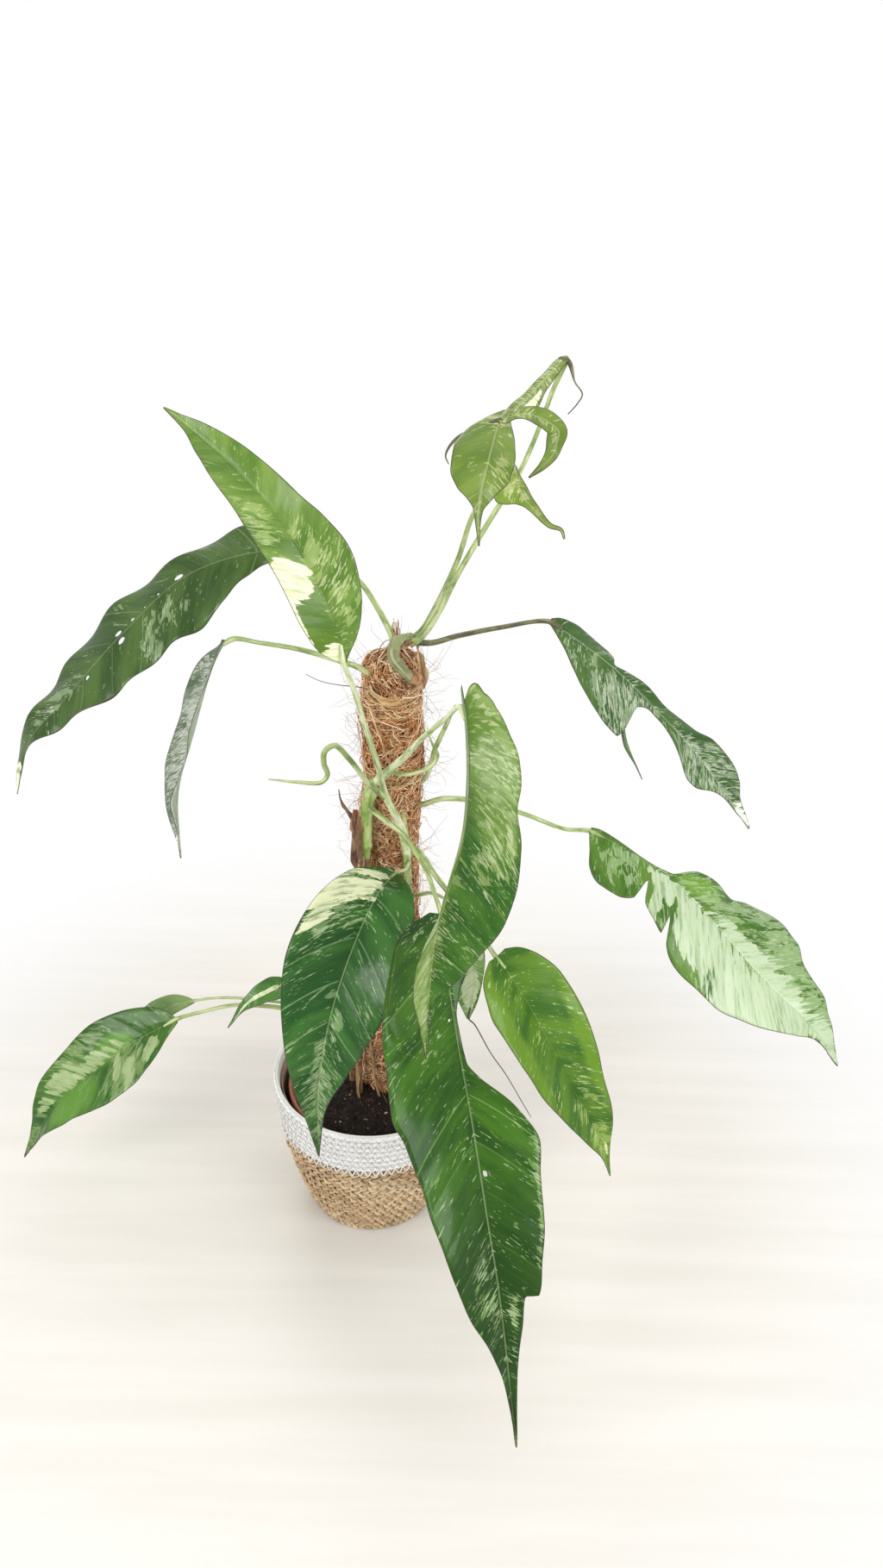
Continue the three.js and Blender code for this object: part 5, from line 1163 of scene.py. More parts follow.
# %% Vines
VINES = {
    "vine_main": [
        dict(look="bark", girth=[(0, 3.2), (1, 3)], joints=[(27, -1, 190), (28, -1, 240)],
             points=[(26, -2, 70), (25, -1, 108), (27, -1, 160), (28, -1, 220), (28, -2, 262)]),
        dict(look="fresh", girth=[(0, 3), (0.3, 2.7), (1, 3)], joints=[(28, -3, 300)],
             points=[(28, -2, 258), (28, -2, 277), (28, -4, 318), (27, -7, 338), (24, 2, 360),
                     (20, 10, 390), (20, 14, 420), (20, 14, 450)]),
        dict(look="grey", girth=[(0, 3.9), (0.15, 3.7), (0.5, 4.4), (0.8, 4.2), (1, 3.4)],
             joints=[(30, -8, 472), (20, 3, 492), (28, 10, 492)],
             points=[(31.5, -6, 471), (28.5, -9, 473.5), (24, -10, 479), (18, -7, 486), (19, 1, 492),
                     (24, 8, 493), (30, 11, 492)]),
        dict(look="husk", girth=[(0, 3.4), (0.5, 4.6), (0.75, 4.7), (0.88, 4.0), (0.93, 2.8), (1, 2.4)],
             points=[(30.4, -6, 474), (33.2, -10, 472), (34.6, -13, 470.6)]),
        dict(look="bark", girth=[(0, 1.6), (1, 0.9)],
             points=[(28, 0, 205), (24, 0, 190), (20, 1, 172)])],
    "vine_front": [
        dict(look="bark", girth=[(0, 3), (0.2, 2.5), (0.6, 3.2), (1, 3.9)],
             joints=[(-9, -4, 160), (-7, -4, 230), (-5, -5, 290), (-3.6, -5.6, 322)],
             points=[(-9, -5, 72), (-10, -3, 108), (-10, -4, 140), (-8, -4, 200), (-6, -4, 252),
                     (-4.6, -5, 296), (-4, -5, 316), (-2.8, -6.2, 335)]),
        dict(look="vine", girth=[(0, 3.9), (0.3, 4.4), (0.8, 4.4), (1, 3.2)],
             joints=[(-2.4, -7, 342), (2, -11, 386)],
             points=[(-3.1, -6, 331), (-2.6, -6.4, 337), (-2, -7, 347), (-1, -9, 369), (3, -12, 392),
                     (6, -15, 399)]),
        dict(look="bark", girth=[(0, 1.5), (1, 1)],
             points=[(-8, -3, 205), (-4, -3, 180), (0, -5, 150), (3, -7, 122), (7, -8, 102)]),
        dict(look="bark", girth=[(0, 1.6), (1, 0.9)],
             points=[(-10, -4, 124), (-11, -8, 112), (-9, -12, 103)]),
        dict(look="bark", girth=[(0, 1.6), (1, 0.9)],
             points=[(-4, -4, 300), (0, 0, 288), (2, 0, 276)])],
    "vine_low": [
        dict(look="bark", girth=[(0, 3.2), (1, 3)], joints=[(-16, 11, 120)],
             points=[(-17, 11, 75), (-16, 11, 108), (-15.3, 11, 140)]),
        dict(look="fresh", girth=[(0, 2.9), (0.8, 2.9), (1, 2.2)],
             joints=[(-15, 11, 146), (-14, 11, 172)],
             points=[(-15.4, 11, 136), (-15, 11, 150), (-13, 11, 182), (-10, 10, 192)])],
}


def grow_vine(name):
    looks = sorted({stem["look"] for stem in VINES[name]})
    parts = []
    for stem in VINES[name]:
        rail = Rail(stem["points"])
        swellings = []
        for joint in stem.get("joints", []):  # a swelling, and a narrow scar just past it
            share = rail.nearest(joint)
            swellings += [(share, 1.0, 2.2), (share + 2.6 / rail.length, -0.35, 0.8)]
        parts.append(tube(stem["points"], stem["girth"], sides=18, groove=0.1, swellings=swellings,
                          pitch=0.9, slot=looks.index(stem["look"])))
    piece = build_piece("fine_" + name, parts, [STEMS[look] for look in looks])
    take_over(piece, name)


for name in VINES:
    grow_vine(name)

# %% [markdown]
# ## Young growth and dried sheaths
#
# New leaves push out of a papery sheath. Here one shoot has curled over itself, one is a tendril,
# one is still rolled to a point, and an old sheath has dried to a purplish-brown strip.

# %% Young growth
YOUNG = {
    "curled_shoot": ("fresh", [(0, 2.2), (0.3, 1.8), (0.6, 2), (0.85, 1.3), (1, 0.5)],
                     [(13, -25, 391), (8, -34, 401), (2, -40, 411), (-9, -48, 432), (-18, -53, 444),
                      (-24, -54, 440), (-25, -53, 431), (-23, -52, 422), (-27, -53, 417), (-42, -57, 419),
                      (-60, -60, 422)]),
    "tendril": ("fresh", [(0, 1.6), (0.6, 1.5), (1, 0.6)],
                [(15, -21, 410), (23, -28, 411), (32, -32, 414), (44, -32, 420), (48, -31, 427),
                 (45, -33, 435), (42, -35, 444)]),
    "sheathed_leaf": ("fresh", [(0, 1.8), (0.5, 2), (0.85, 1.6), (1, 0.5)],
                      [(26, 16, 374), (38, 15, 384), (42, 10, 395), (46, 8, 413), (52, 6, 429),
                       (59, 2, 449)]),
}
for name, (look, girth, points) in YOUNG.items():
    stem = tube(points, girth, sides=12, groove=0.3, pitch=1.0)
    piece = build_piece("fine_" + name, [stem], [STEMS[look]])
    take_over(piece, name)

# %% Dried sheaths


def husk(mid, face, width, fold, seed, slot):
    """A papery strip with an uneven outline."""
    rng = np.random.default_rng(seed)
    rows = [(t, max(0.5, width * math.sin(math.pi * min(t + 0.15, 1) ** 0.8) * rng.uniform(0.7, 1.15)))
            for t in np.linspace(0, 1, 9)]
    spec = dict(mid=mid, face=face, right=rows, left=rows, fold=[(0, fold), (1, fold)], droop=0,
                wave=(0.8, 3, 0.2))
    return dict(blade_part(spec, dict(quilt=1.5), seed), slot=slot)


TO_THE_FRONT = [(0, 0.2, -1, 0), (1, 0.1, -1, 0.2)]
dried = [
    husk([(-4, -7, 318), (-8, -12, 330), (-8.5, -14, 352), (-9, -15, 362), (-11, -15, 371),
          (-17, -15, 377), (-19, -15, 385)], [(0, 0.3, -1, 0), (1, 0.3, -0.9, 0.2)],
         width=4.4, fold=25, seed=3, slot=0),
    tube([(-11, -15, 368), (-15, -15, 376), (-18.5, -15, 383), (-19.5, -15, 391)],
         [(0, 1.4), (1, 0.35)], sides=7, slot=0),
    husk([(-5, -8, 308), (-6, -10, 322), (-5, -12, 334), (-7, -12, 345)], TO_THE_FRONT,
         width=4.5, fold=30, seed=5, slot=1),
    husk([(2, -9, 309), (0, -11, 316), (-3, -12, 322), (-6, -12, 326)], TO_THE_FRONT,
         width=2.6, fold=20, seed=6, slot=1),
    husk([(-8, -9, 371), (-7.5, -9, 356), (-6.5, -8, 338), (-5.5, -7, 316)],
         [(0, -0.5, -1, 0), (1, -0.4, -1, 0)], width=5.4, fold=14, seed=11, slot=2),
]
piece = build_piece("fine_dried_sheath", dried, [STEMS["purple"], STEMS["paper"], STEMS["husk"]])
take_over(piece, "dried_sheath")
torn_sheaths = [
    husk([(37, -3, 466), (36, 0, 476), (34, 4, 486), (32, 8, 492)],
         [(0, 0.5, -1, 0.2), (1, 0.2, -1, 0.3)], width=4.2, fold=25, seed=7, slot=0),
    husk([(29, -8, 463), (34, -4, 470), (35, 0, 478)],
         [(0, 0.2, -1, 0.3), (1, 0.6, -0.8, 0.2)], width=3, fold=30, seed=8, slot=0),
    husk([(24, -4, 492), (29, 1, 493), (34, 6, 489)],
         [(0, 0.1, -0.8, 0.6), (1, 0.1, -0.8, 0.6)], width=2.2, fold=20, seed=9, slot=0),
]
piece = build_piece("torn_sheaths", torn_sheaths, [STEMS["paper"]])
add_detail(piece)

# %% [markdown]
# ## The coir pole
#
# Coir is a mat of curly coconut fibre rolled round a stake and tied. Modelling each fibre by hand
# is hopeless, but the mat is flat before it is rolled. So Geometry Nodes scatter short lines over
# a flat strip, curl them with noise, and roll the strip round the pole. One small group does the
# rolling, and it also pinches the mat at the ties and rounds its top.

# %% Node group: roll round the pole
POLE_RADIUS = 18.6 * MM
POLE_TOP = 480 * MM
SOIL_TOP = 105 * MM
TIES = (388 * MM, 446 * MM)
POLE_FOOT = (7, 18)      # mm, where the pole's axis meets the floor
POLE_LEAN = 0.0211       # how far the axis moves to the right for each mm up


def roll_tree():
    """Flat place (round the pole, height, lift) to a place round the pole."""
    takes, gives = [("Flat", "Vector", None)], [("Place", "Vector")]
    tree, w, start, end = new_tree("roll_round_pole", "GeometryNodeTree", takes, gives)
    x, z, lift = w.split(start["Flat"])
    # a lumpy radius, pinched at the ties and rounded at the top
    turn = w.math("DIVIDE", x, POLE_RADIUS)
    lumps = w.math("SINE", w.plus(w.times(turn, 3.0), w.math("DIVIDE", z, 19 * MM)))
    small = w.math("SINE", w.minus(w.times(turn, 5.0), w.math("DIVIDE", z, 11 * MM)))
    radius = w.times_plus(lumps, 1.5 * MM, POLE_RADIUS)
    radius = w.times_plus(small, 0.9 * MM, radius)
    for at in TIES:
        gap = w.math("DIVIDE", w.minus(z, at), 9 * MM)
        pinch = w.math("EXPONENT", w.times(w.times(gap, gap), -1.0))
        radius = w.times_plus(pinch, -2.3 * MM, radius)
    up = w.math("DIVIDE", w.math("MAXIMUM", w.minus(z, POLE_TOP - 14 * MM), 0.0), 14 * MM)
    dome = w.math("SQRT", w.math("MAXIMUM", w.minus(1.0, w.times(up, up)), 0.0))
    radius = w.plus(w.times(radius, dome), lift)
    # round the leaning axis
    axis = w.times_plus(z, POLE_LEAN, POLE_FOOT[0] * MM)
    place = w.combine(w.plus(axis, w.times(radius, w.math("COSINE", turn))),
                      w.plus(POLE_FOOT[1] * MM, w.times(radius, w.math("SINE", turn))),
                      w.plus(z, w.times(lift, up)))
    return give(tree, end, Place=place)


ROLL = roll_tree()


def rolled(w, flat):
    return w.geo("Group", {"Flat": flat}, node_tree=ROLL)


# %% Node tree: fibres


def fibre_tree():
    takes = [("Count", "Int", 100), ("Points", "Int", 9), ("Length", "Float", 0.03),
             ("Thickness", "Float", 0.0002), ("Curl", "Float", 0.004), ("Lift", "Float", 0.001),
             ("Rise", "Float", 0.0), ("Turn", "Float", 3.1416), ("Low", "Float", 0.1),
             ("High", "Float", 0.4), ("Seed", "Int", 0), ("Material", "Material", None)]
    tree, w, start, end = new_tree("pole_fibres", "GeometryNodeTree", takes, [("Mesh", "Geometry")])
    # short lines, scattered and turned on a flat strip
    seed = start["Seed"]
    lowest = w.combine(0.0, start["Low"], 0.0)
    spread = w.random_vector(lowest, w.combine(2 * math.pi * POLE_RADIUS, start["High"], 0.0), seed)
    points = w.geo("Points", {"Count": start["Count"], "Position": spread})
    half = w.times(start["Length"], 0.5)
    ends = {"Start": w.combine(w.times(half, -1.0), 0.0, 0.0), "End": w.combine(half, 0.0, 0.0)}
    line = w.geo("ResampleCurve", {"Curve": w.geo("CurvePrimitiveLine", ends), "Count": start["Points"]})
    turn = w.random_vector(w.combine(0.0, 0.0, w.times(start["Turn"], -1.0)),
                           w.combine(0.0, 0.0, start["Turn"]), w.plus(seed, 1.0))
    size = w.random(0.5, 1.3, {"Seed": w.plus(seed, 2.0)})
    strands = w.geo("InstanceOnPoints", {"Points": points, "Instance": line, "Rotation": turn,
                                         "Scale": size})
    strands = w.geo("RealizeInstances", {"Geometry": strands})
    # a tone for each fibre, and a curl of its own
    number = w.node("GeometryNodeCurveOfPoint").outputs["Curve Index"]
    tone = w.random(0.0, 1.0, {"ID": number, "Seed": w.plus(seed, 3.0)})
    strands = w.keep(strands, "tone", tone)
    place = w.geo("InputPosition")
    shift = w.combine(w.times(number, 0.173), w.times(number, 0.317), number)
    sway = w.node("ShaderNodeTexNoise", {"Vector": w.moved(w.scaled(place, 70.0), shift),
                                         "Scale": 1.0, "Detail": 1.5, "Roughness": 0.6}).outputs[1]
    sway = w.vector_math("SUBTRACT", sway, (0.5, 0.5, 0.5))
    curl = w.combine(start["Curl"], start["Curl"], start["Lift"])
    sway = w.scaled(w.vector_math("MULTIPLY", sway, curl), 4.0)
    # lifted off the strip while it is flat, then rolled with it
    share = w.node("GeometryNodeSplineParameter").outputs["Factor"]
    rise = w.times(w.times(w.times(share, share), start["Rise"]), tone)
    lifted = w.moved(sway, w.combine(0.0, 0.0, w.plus(rise, start["Lift"])))
    strands = w.geo("SetPosition", {"Geometry": strands, "Offset": lifted})
    strands = w.geo("SetPosition", {"Geometry": strands, "Position": rolled(w, place)})
    # a thin tube that tapers
    taper = w.minus(1.0, w.times(w.math("POWER", share, 3.0), 0.6))
    thick = w.times(start["Thickness"], w.times_plus(tone, 0.7, 0.65))
    profile = w.geo("CurvePrimitiveCircle", {"Resolution": 3, "Radius": 1.0})
    made = w.geo("CurveToMesh", {"Curve": strands, "Profile Curve": profile, "Fill Caps": True,
                                 "Scale": w.times(thick, taper)})
    return give(tree, end, Mesh=w.finished(made, start["Material"]))


def grown(name, tree, values, base=None):
    """Runs a Geometry Nodes tree once and returns its result as a plain mesh object."""
    carrier = new_object(name + "_carrier", base or bpy.data.meshes.new(name + "_start"))
    modifier = carrier.modifiers.new("grow", "NODES")
    modifier.node_group = tree
    for item in tree.interface.items_tree:
        if item.in_out == "INPUT" and item.name in values:
            modifier[item.identifier] = values[item.name]
    graph = bpy.context.evaluated_depsgraph_get()
    mesh = bpy.data.meshes.new_from_object(carrier.evaluated_get(graph),
                                           preserve_all_data_layers=True, depsgraph=graph)
    carrier.modifiers.remove(modifier)
    bpy.data.objects.remove(carrier)
    mesh.name = name
    return new_object(name, mesh)


FIBRES = fibre_tree()

# %% [markdown]
# ## Coir colours
#
# Coir runs from reddish brown to pale straw on stray fibres, and each fibre has one colour along
# its length. The tree gave every fibre a random number, its tone, and the material turns that
# number into a colour. The dark brown deep in the mat is painted shade, on a sheet under the fibres.

# %% Coir materials


def strand_material(name, dark, middle, light):
    material, w, shader = new_material(name, specular=0.25)
    tint = w.ramp(w.field("tone"), (0.1, dark), (0.97, light), (0.55, middle))
    place = w.node("ShaderNodeTexCoord").outputs["Object"]
    blotch = w.noise(place, 90.0, 3.0)
    tint = w.over(tint, w.step(blotch, 0.5, 0.25), 0.6, colour(dark))
    rough = w.times_plus(blotch, 0.2, 0.65)
    dress(w, shader, tint, rough, w.noise(place, 900.0, 2.0), 0.0002)
    return material


COIR = strand_material("coir_fibre", "#935631", "#e2a66e", "#ffe6c2")
STRAW = strand_material("straw_twine", "#cba06a", "#ecc996", "#fff0cc")
HAIR = strand_material("stray_hair", "#6f4a30", "#a07550", "#d2b08a")
# painted shade: the dark sheet under the fibres, where only shade shows between them
PAINTED_COIR_SHADE = strand_material("coir_painted_shade", "#54301b", "#6c4024", "#7d5030")
print("coir materials:", COIR.name, STRAW.name, HAIR.name, PAINTED_COIR_SHADE.name)


# %% Core of the mat: a dark sheet that paints the shade between fibres


def core_tree():
    takes = [("Low", "Float", 0.1), ("High", "Float", 0.4), ("Material", "Material", None)]
    tree, w, start, end = new_tree("pole_core", "GeometryNodeTree", takes, [("Mesh", "Geometry")])
    # a flat sheet, rolled just inside the mat, closed and roughened; its dark colour is painted shade
    sheet = w.geo("MeshGrid", {"Size X": 2 * math.pi * POLE_RADIUS,
                               "Size Y": w.minus(start["High"], start["Low"]),
                               "Vertices X": 97, "Vertices Y": 220})
    place = w.geo("InputPosition")
    middle = w.times(w.plus(start["High"], start["Low"]), 0.5)
    flat = w.moved(place, w.combine(0.0, middle, -1.1 * MM))
    sheet = w.geo("SetPosition", {"Geometry": sheet, "Position": rolled(w, flat)})
    sheet = w.geo("MergeByDistance", {"Geometry": sheet, "Distance": 0.05 * MM})
    rough = w.noise(place, 260.0, 3.0)
    push = w.scaled(w.geo("InputNormal"), w.times(w.minus(rough, 0.5), 2.2 * MM))
    sheet = w.geo("SetPosition", {"Geometry": sheet, "Offset": push})
    sheet = w.geo("FlipFaces", {"Mesh": sheet})
    sheet = w.geo("SetShadeSmooth", {"Geometry": sheet})
    return give(tree, end, Mesh=w.finished(sheet, start["Material"]))


core = grown("coir_shade_core", core_tree(), {"Low": 90 * MM, "High": POLE_TOP - 0.05 * MM, "Material": PAINTED_COIR_SHADE})
take_over(core, "coir_sleeve")

# %% Mat, stray hairs and ties
# lengths are in metres here, as the fibre tree takes them
MATS = [
    ("coir_mat_deep", COIR, dict(Count=3000, Points=10, Length=0.026, Thickness=0.00042, Curl=0.0060,
         Lift=0.0004, Low=SOIL_TOP, High=POLE_TOP - 0.001, Seed=23)),
    ("coir_mat_top", COIR, dict(Count=1900, Points=13, Length=0.034, Thickness=0.00046, Curl=0.0100,
         Lift=0.0015, Low=SOIL_TOP, High=POLE_TOP - 0.001, Seed=11)),
    ("coir_loops", COIR, dict(Count=420, Points=18, Length=0.042, Thickness=0.00036, Curl=0.0140,
         Lift=0.0028, Low=SOIL_TOP + 0.02, High=POLE_TOP - 0.004, Seed=71)),
    ("coir_stray_hairs", HAIR, dict(Count=800, Points=12, Length=0.034, Thickness=0.00012, Curl=0.0045,
         Lift=0.0016, Rise=0.026, Low=SOIL_TOP + 0.01, High=POLE_TOP - 0.004, Seed=37)),
]
for name, material, values in MATS:
    add_detail(grown(name, FIBRES, dict(values, Material=material)))
TIE = dict(Points=30, Length=0.072, Thickness=0.00055, Curl=0.0045, Lift=0.0032, Turn=0.32)
TIE_STRAWS = (9, 22)
for number, (at, count) in enumerate(zip(TIES, TIE_STRAWS), start=1):
    few = dict(TIE, Count=count, Low=at - 0.006, High=at + 0.006, Seed=50 + number)
    piece = grown(f"straw_tie_{number}", FIBRES, dict(few, Material=STRAW))
    take_over(piece, f"twine_tie_{number}")

# %% Long straws and roots at the top


def straw_sweep(rng, low, high):
    """The route in mm of one straw that sags round the front of the pole."""
    sag, lift = rng.uniform(4, 11), rng.uniform(0.6, 3)
    start, stop = rng.uniform(-3.3, -2.5), rng.uniform(-0.8, 0.1)
    first, last = rng.uniform(low, high, 2)
    route = []
    for share in np.linspace(0, 1, 9):
        belly = math.sin(math.pi * share)
        z = first + (last - first) * share - sag * belly
        turn = start + (stop - start) * share
        radius = POLE_RADIUS / MM + 0.6 + lift * belly
        route.append((POLE_FOOT[0] + POLE_LEAN * z + radius * math.cos(turn),
                      POLE_FOOT[1] + radius * math.sin(turn), z))
    return route


rng = np.random.default_rng(12)
straws = [tube(straw_sweep(rng, 453, 463), [(0, 0.3), (0.5, rng.uniform(0.5, 0.85)), (1, 0.25)], 5,
               pitch=1.5) for _ in range(13)]
straws += [tube(straw_sweep(rng, 392, 400), [(0, 0.3), (0.5, 0.5), (1, 0.25)], 5, pitch=1.5)
           for _ in range(5)]
straws += [tube([(1, -2.5, 449), (5, -4, 436), (10, -4, 420), (14, -4.5, 407)],
                [(0, 0.7), (0.7, 0.6), (1, 0.3)], 5, pitch=1.5)]
straws += [tube(route, [(0, 0.4), (1, 0.2)], 5, pitch=1.5, slot=1) for route in (
    [(5, 6, 474), (7, 4, 483), (9, 4, 490), (13.5, 4, 494), (17.5, 4, 492), (19, 5, 486)],
    [(0, 4, 458), (-6, 3, 460), (-18, 2, 461.5), (-29, 2, 463.5), (-36, 1, 466.5), (-41, 0, 470)])]
add_detail(build_piece("straws_and_roots", straws, [STEMS["straw"], STEMS["purple"]]))

# %% [markdown]
# ## The braided basket
#
# The basket is sewn from flat plaits, row upon row. In a plait of three, each strand swings from
# side to side once while it goes under and over twice, and the three are a third of a turn
# apart. Geometry Nodes lay plain rings first and then swing every point by that rule.

# %% Basket profile
BASKET_SIDE = [(0, 48), (1.5, 50.5), (5, 52.5), (12, 55.5), (25, 60), (60, 69), (90, 75), (130, 79)]
SEAM = 90
RIM = 130
PATTERN_ROUND = 40       # cm once round a turned piece, as its UV map counts


def basket_radius(z):
    return float(outline_at(BASKET_SIDE, np.array(z)))


def inside(depth, *heights):
    """Points of a wall that lies some mm inside the basket's side, at these heights."""
    return [(basket_radius(z) - depth, z) for z in heights]


def turned_piece(name, profile, material, segments=128):
    """A closed shape turned about the upright axis, from an outline of (radius, height) in mm."""
    turn = np.arange(segments) * 2 * math.pi / segments
    r, z = np.asarray(profile, float).T
    points = np.stack([r[:, None] * np.cos(turn), r[:, None] * np.sin(turn),
                       np.broadcast_to(z[:, None], (len(r), segments))], -1).reshape(-1, 3)
    run = np.concatenate([[0], np.cumsum(np.hypot(np.diff(r), np.diff(z)))]) / 10
    faces, uv = ring_faces(run, np.arange(segments + 1) / segments * PATTERN_ROUND)
    return build_piece(name, [dict(points=points, faces=faces, uv=uv[:, ::-1])], [material])


print("radius at the seam:", round(basket_radius(SEAM), 1), "mm")

# %% Node tree: plaited rows


def plait_tree():
    takes = [("Rings", "Geometry", None), ("Crossings", "Float", 34.0), ("Swing", "Float", 0.002),
             ("Depth", "Float", 0.0007), ("Width", "Float", 0.002), ("Thickness", "Float", 0.0009),
             ("Stray", "Float", 0.0005), ("Points", "Int", 340), ("Material", "Material", None)]
    tree, w, start, end = new_tree("plaited_rows", "GeometryNodeTree", takes, [("Mesh", "Geometry")])
    ring = w.geo("MeshToCurve", {"Mesh": start["Rings"]})
    ring = w.geo("ResampleCurve", {"Curve": ring, "Count": start["Points"]})
    place = w.geo("InputPosition")
    x, y, _ = w.split(place)
    # each point swings up and down, and in and out at twice the pace
    angle = w.math("ARCTAN2", y, x)
    phase = w.geo("InputNamedAttribute", {"Name": "phase"}, data_type="FLOAT")
    swing = w.times_plus(angle, start["Crossings"], phase)
    outward = w.vector_math("NORMALIZE", w.combine(x, y, 0.0))
    sway = w.noise(w.moved(place, w.combine(0.0, 0.0, phase)), 160.0, 1.0)
    sway = w.times(w.minus(sway, 0.5), start["Stray"])
    up = w.times_plus(w.math("SINE", swing), start["Swing"], sway)
    out = w.times_plus(w.math("SINE", w.times(swing, 2.0)), start["Depth"], sway)
    offset = w.moved(w.scaled(outward, out), w.combine(0.0, 0.0, up))
    # what the material reads, and a flat strand's profile
    number = w.node("GeometryNodeCurveOfPoint").outputs["Curve Index"]
    tone = w.random(0.0, 1.0, {"ID": number, "Seed": 5})
    along = w.node("GeometryNodeSplineParameter").outputs["Length"]
    for name, value in (("tone", tone), ("along", along), ("swing", swing)):
        ring = w.keep(ring, name, value)
    ring = w.geo("SetPosition", {"Geometry": ring, "Offset": offset})
    ring = w.geo("SetCurveNormal", {"Curve": ring}, mode="Z_UP")
    profile = w.geo("CurvePrimitiveCircle", {"Resolution": 6, "Radius": 1.0})
    round_about = w.node("GeometryNodeSplineParameter").outputs["Factor"]
    profile = w.keep(profile, "around", round_about)
    size = w.combine(start["Thickness"], start["Width"], 1.0)
    profile = w.geo("Transform", {"Geometry": profile, "Scale": size})
    made = w.geo("CurveToMesh", {"Curve": ring, "Profile Curve": profile})
    made = w.geo("SetShadeSmooth", {"Geometry": made})
    return give(tree, end, Mesh=w.finished(made, start["Material"]))


PLAITS = plait_tree()


def ring_guides(name, rows, strands=3, corners=90, shift=1.9):
    """Rings of edges at (radius, height) rows in mm, one for each strand, with the strand's phase."""
    mesh = bpy.data.meshes.new(name)
    points, edges, phases = [], [], []
    for row, (radius, height) in enumerate(rows):
        for strand in range(strands):
            start = len(points)
            for i in range(corners):
                turn = i / corners * 2 * math.pi
                points.append((radius * math.cos(turn) * MM, radius * math.sin(turn) * MM, height * MM))
                edges.append((start + i, start + (i + 1) % corners))
                phases.append(strand / strands * 2 * math.pi + row * shift)
    mesh.from_pydata(points, edges, [])
    mesh.attributes.new("phase", "FLOAT", "POINT").data.foreach_set("value", phases)
    return mesh


# %% [markdown]
# ## Jute and cotton
#
# Jute strands are bundles of flat, shiny husk fibres, so fine lines run along each strand and
# some fibres are much darker. The cotton is bleached nearly white. On both, the grey or dark where
# a strand dips under its neighbours is painted shade. Both read how far along and how far round
# the strand a point lies.

# %% Plait material


def plait_material(name, base, light, dark, contrast, rough):
    material, w, shader = new_material(name, specular=0.3, sheen=0.15)
    along = w.times(w.field("along"), 60.0)
    around = w.times(w.field("around"), 7.0)
    tone = w.field("tone")
    lines = w.combine(w.times(along, 0.5), around, w.times(tone, 40.0))
    fibre = w.noise(lines, 1.6, 4.0, 0.6)
    patchy = w.noise(w.combine(along, tone, 0.0), 0.9, 2.0)
    tint = w.mix(w.step(patchy, 0.3, 0.7), colour(base), colour(light))
    tint = w.over(tint, w.step(fibre, 0.52, 0.36), contrast, colour(dark))
    tint = w.over(tint, w.step(fibre, 0.56, 0.7), contrast * 0.7, colour(light))
    # painted shade: the strand is darkened where it dips under its neighbours
    dip = w.times(w.field("swing"), 2.0)
    groove = w.step(w.math("SINE", dip), -0.2, -1.0)
    tint = w.over(tint, groove, contrast * 0.8, colour(dark))
    dress(w, shader, tint, w.times_plus(fibre, 0.25, rough - 0.1), fibre, 0.0006)
    return material


JUTE = plait_material("jute_plait", "#c8a375", "#efd5ab", "#452a19", 1.0, 0.6)
COTTON = plait_material("cotton_plait", "#fbfaf9", "#ffffff", "#dbd9d5", 0.3, 0.8)
# painted shade: the thread is tinted grey for the small shadows that the stitches cast on the cotton
STITCH_SHADE_GREY = plait_material("stitch_thread_shade_grey", "#e3e0dd", "#f6f5f3", "#b5b1ad", 0.4, 0.7)
# painted shade: the near-black sheet behind the jute plaits, seen in the gaps between strands
PAINTED_JUTE_SHADE = strand_material("jute_shade_sheet", "#2a1b12", "#352318", "#402b1d")
# painted shade, faint: the light grey sheet behind the cotton plaits, seen in the gaps
PAINTED_COTTON_SHADE = strand_material("cotton_shade_sheet", "#e4e2de", "#e9e7e3", "#efedea")
print("basket materials:", JUTE.name, COTTON.name, STITCH_SHADE_GREY.name)

# %% Rows of jute and cotton
jute_rows = inside(1.5, *np.linspace(5.3, SEAM - 3.6, 10))
cotton_rows = inside(1.1, *np.arange(SEAM + 2.9, RIM - 1, 5.55))
# a sheet of painted shade behind the jute rows
jute_shade_sheet = turned_piece("jute_shade_backing", [
    (40, 0.6), (basket_radius(1) - 3, 0.6), *inside(2.6, 3, 6, 12, 25, 40, 60, SEAM),
    *inside(5, SEAM, 40, 14), *inside(7, 5), (40, 5)], PAINTED_JUTE_SHADE)
jute = grown("jute_plaits", PLAITS, dict(
    Crossings=20.0, Swing=2.7 * MM, Depth=1.3 * MM, Width=1.6 * MM, Thickness=0.8 * MM,
    Stray=4.6 * MM, Points=350, Material=JUTE), ring_guides("jute_rings", jute_rows))
take_over(jute, "basket_jute_body")
add_detail(jute_shade_sheet)
# a sheet of faint painted shade behind the cotton rows
cotton_shade_sheet = turned_piece("cotton_shade_backing", [
    (basket_radius(SEAM) - 5, SEAM + 0.3), (basket_radius(SEAM) - 1.6, SEAM + 0.3), *inside(1.6, 110),
    (basket_radius(RIM) - 2, RIM - 2.5), (basket_radius(RIM) - 3.1, RIM - 1),
    (basket_radius(RIM) - 4.5, RIM - 2.5), *inside(5, 110), (basket_radius(SEAM) - 5, SEAM + 0.3)],
    PAINTED_COTTON_SHADE)
cotton = grown("cotton_plaits", PLAITS, dict(
    Crossings=56.0, Swing=1.5 * MM, Depth=0.5 * MM, Width=1.2 * MM, Thickness=0.7 * MM,
    Stray=0.5 * MM, Points=448, Material=COTTON), ring_guides("cotton_rings", cotton_rows))
take_over(cotton, "basket_white_band")
add_detail(cotton_shade_sheet)
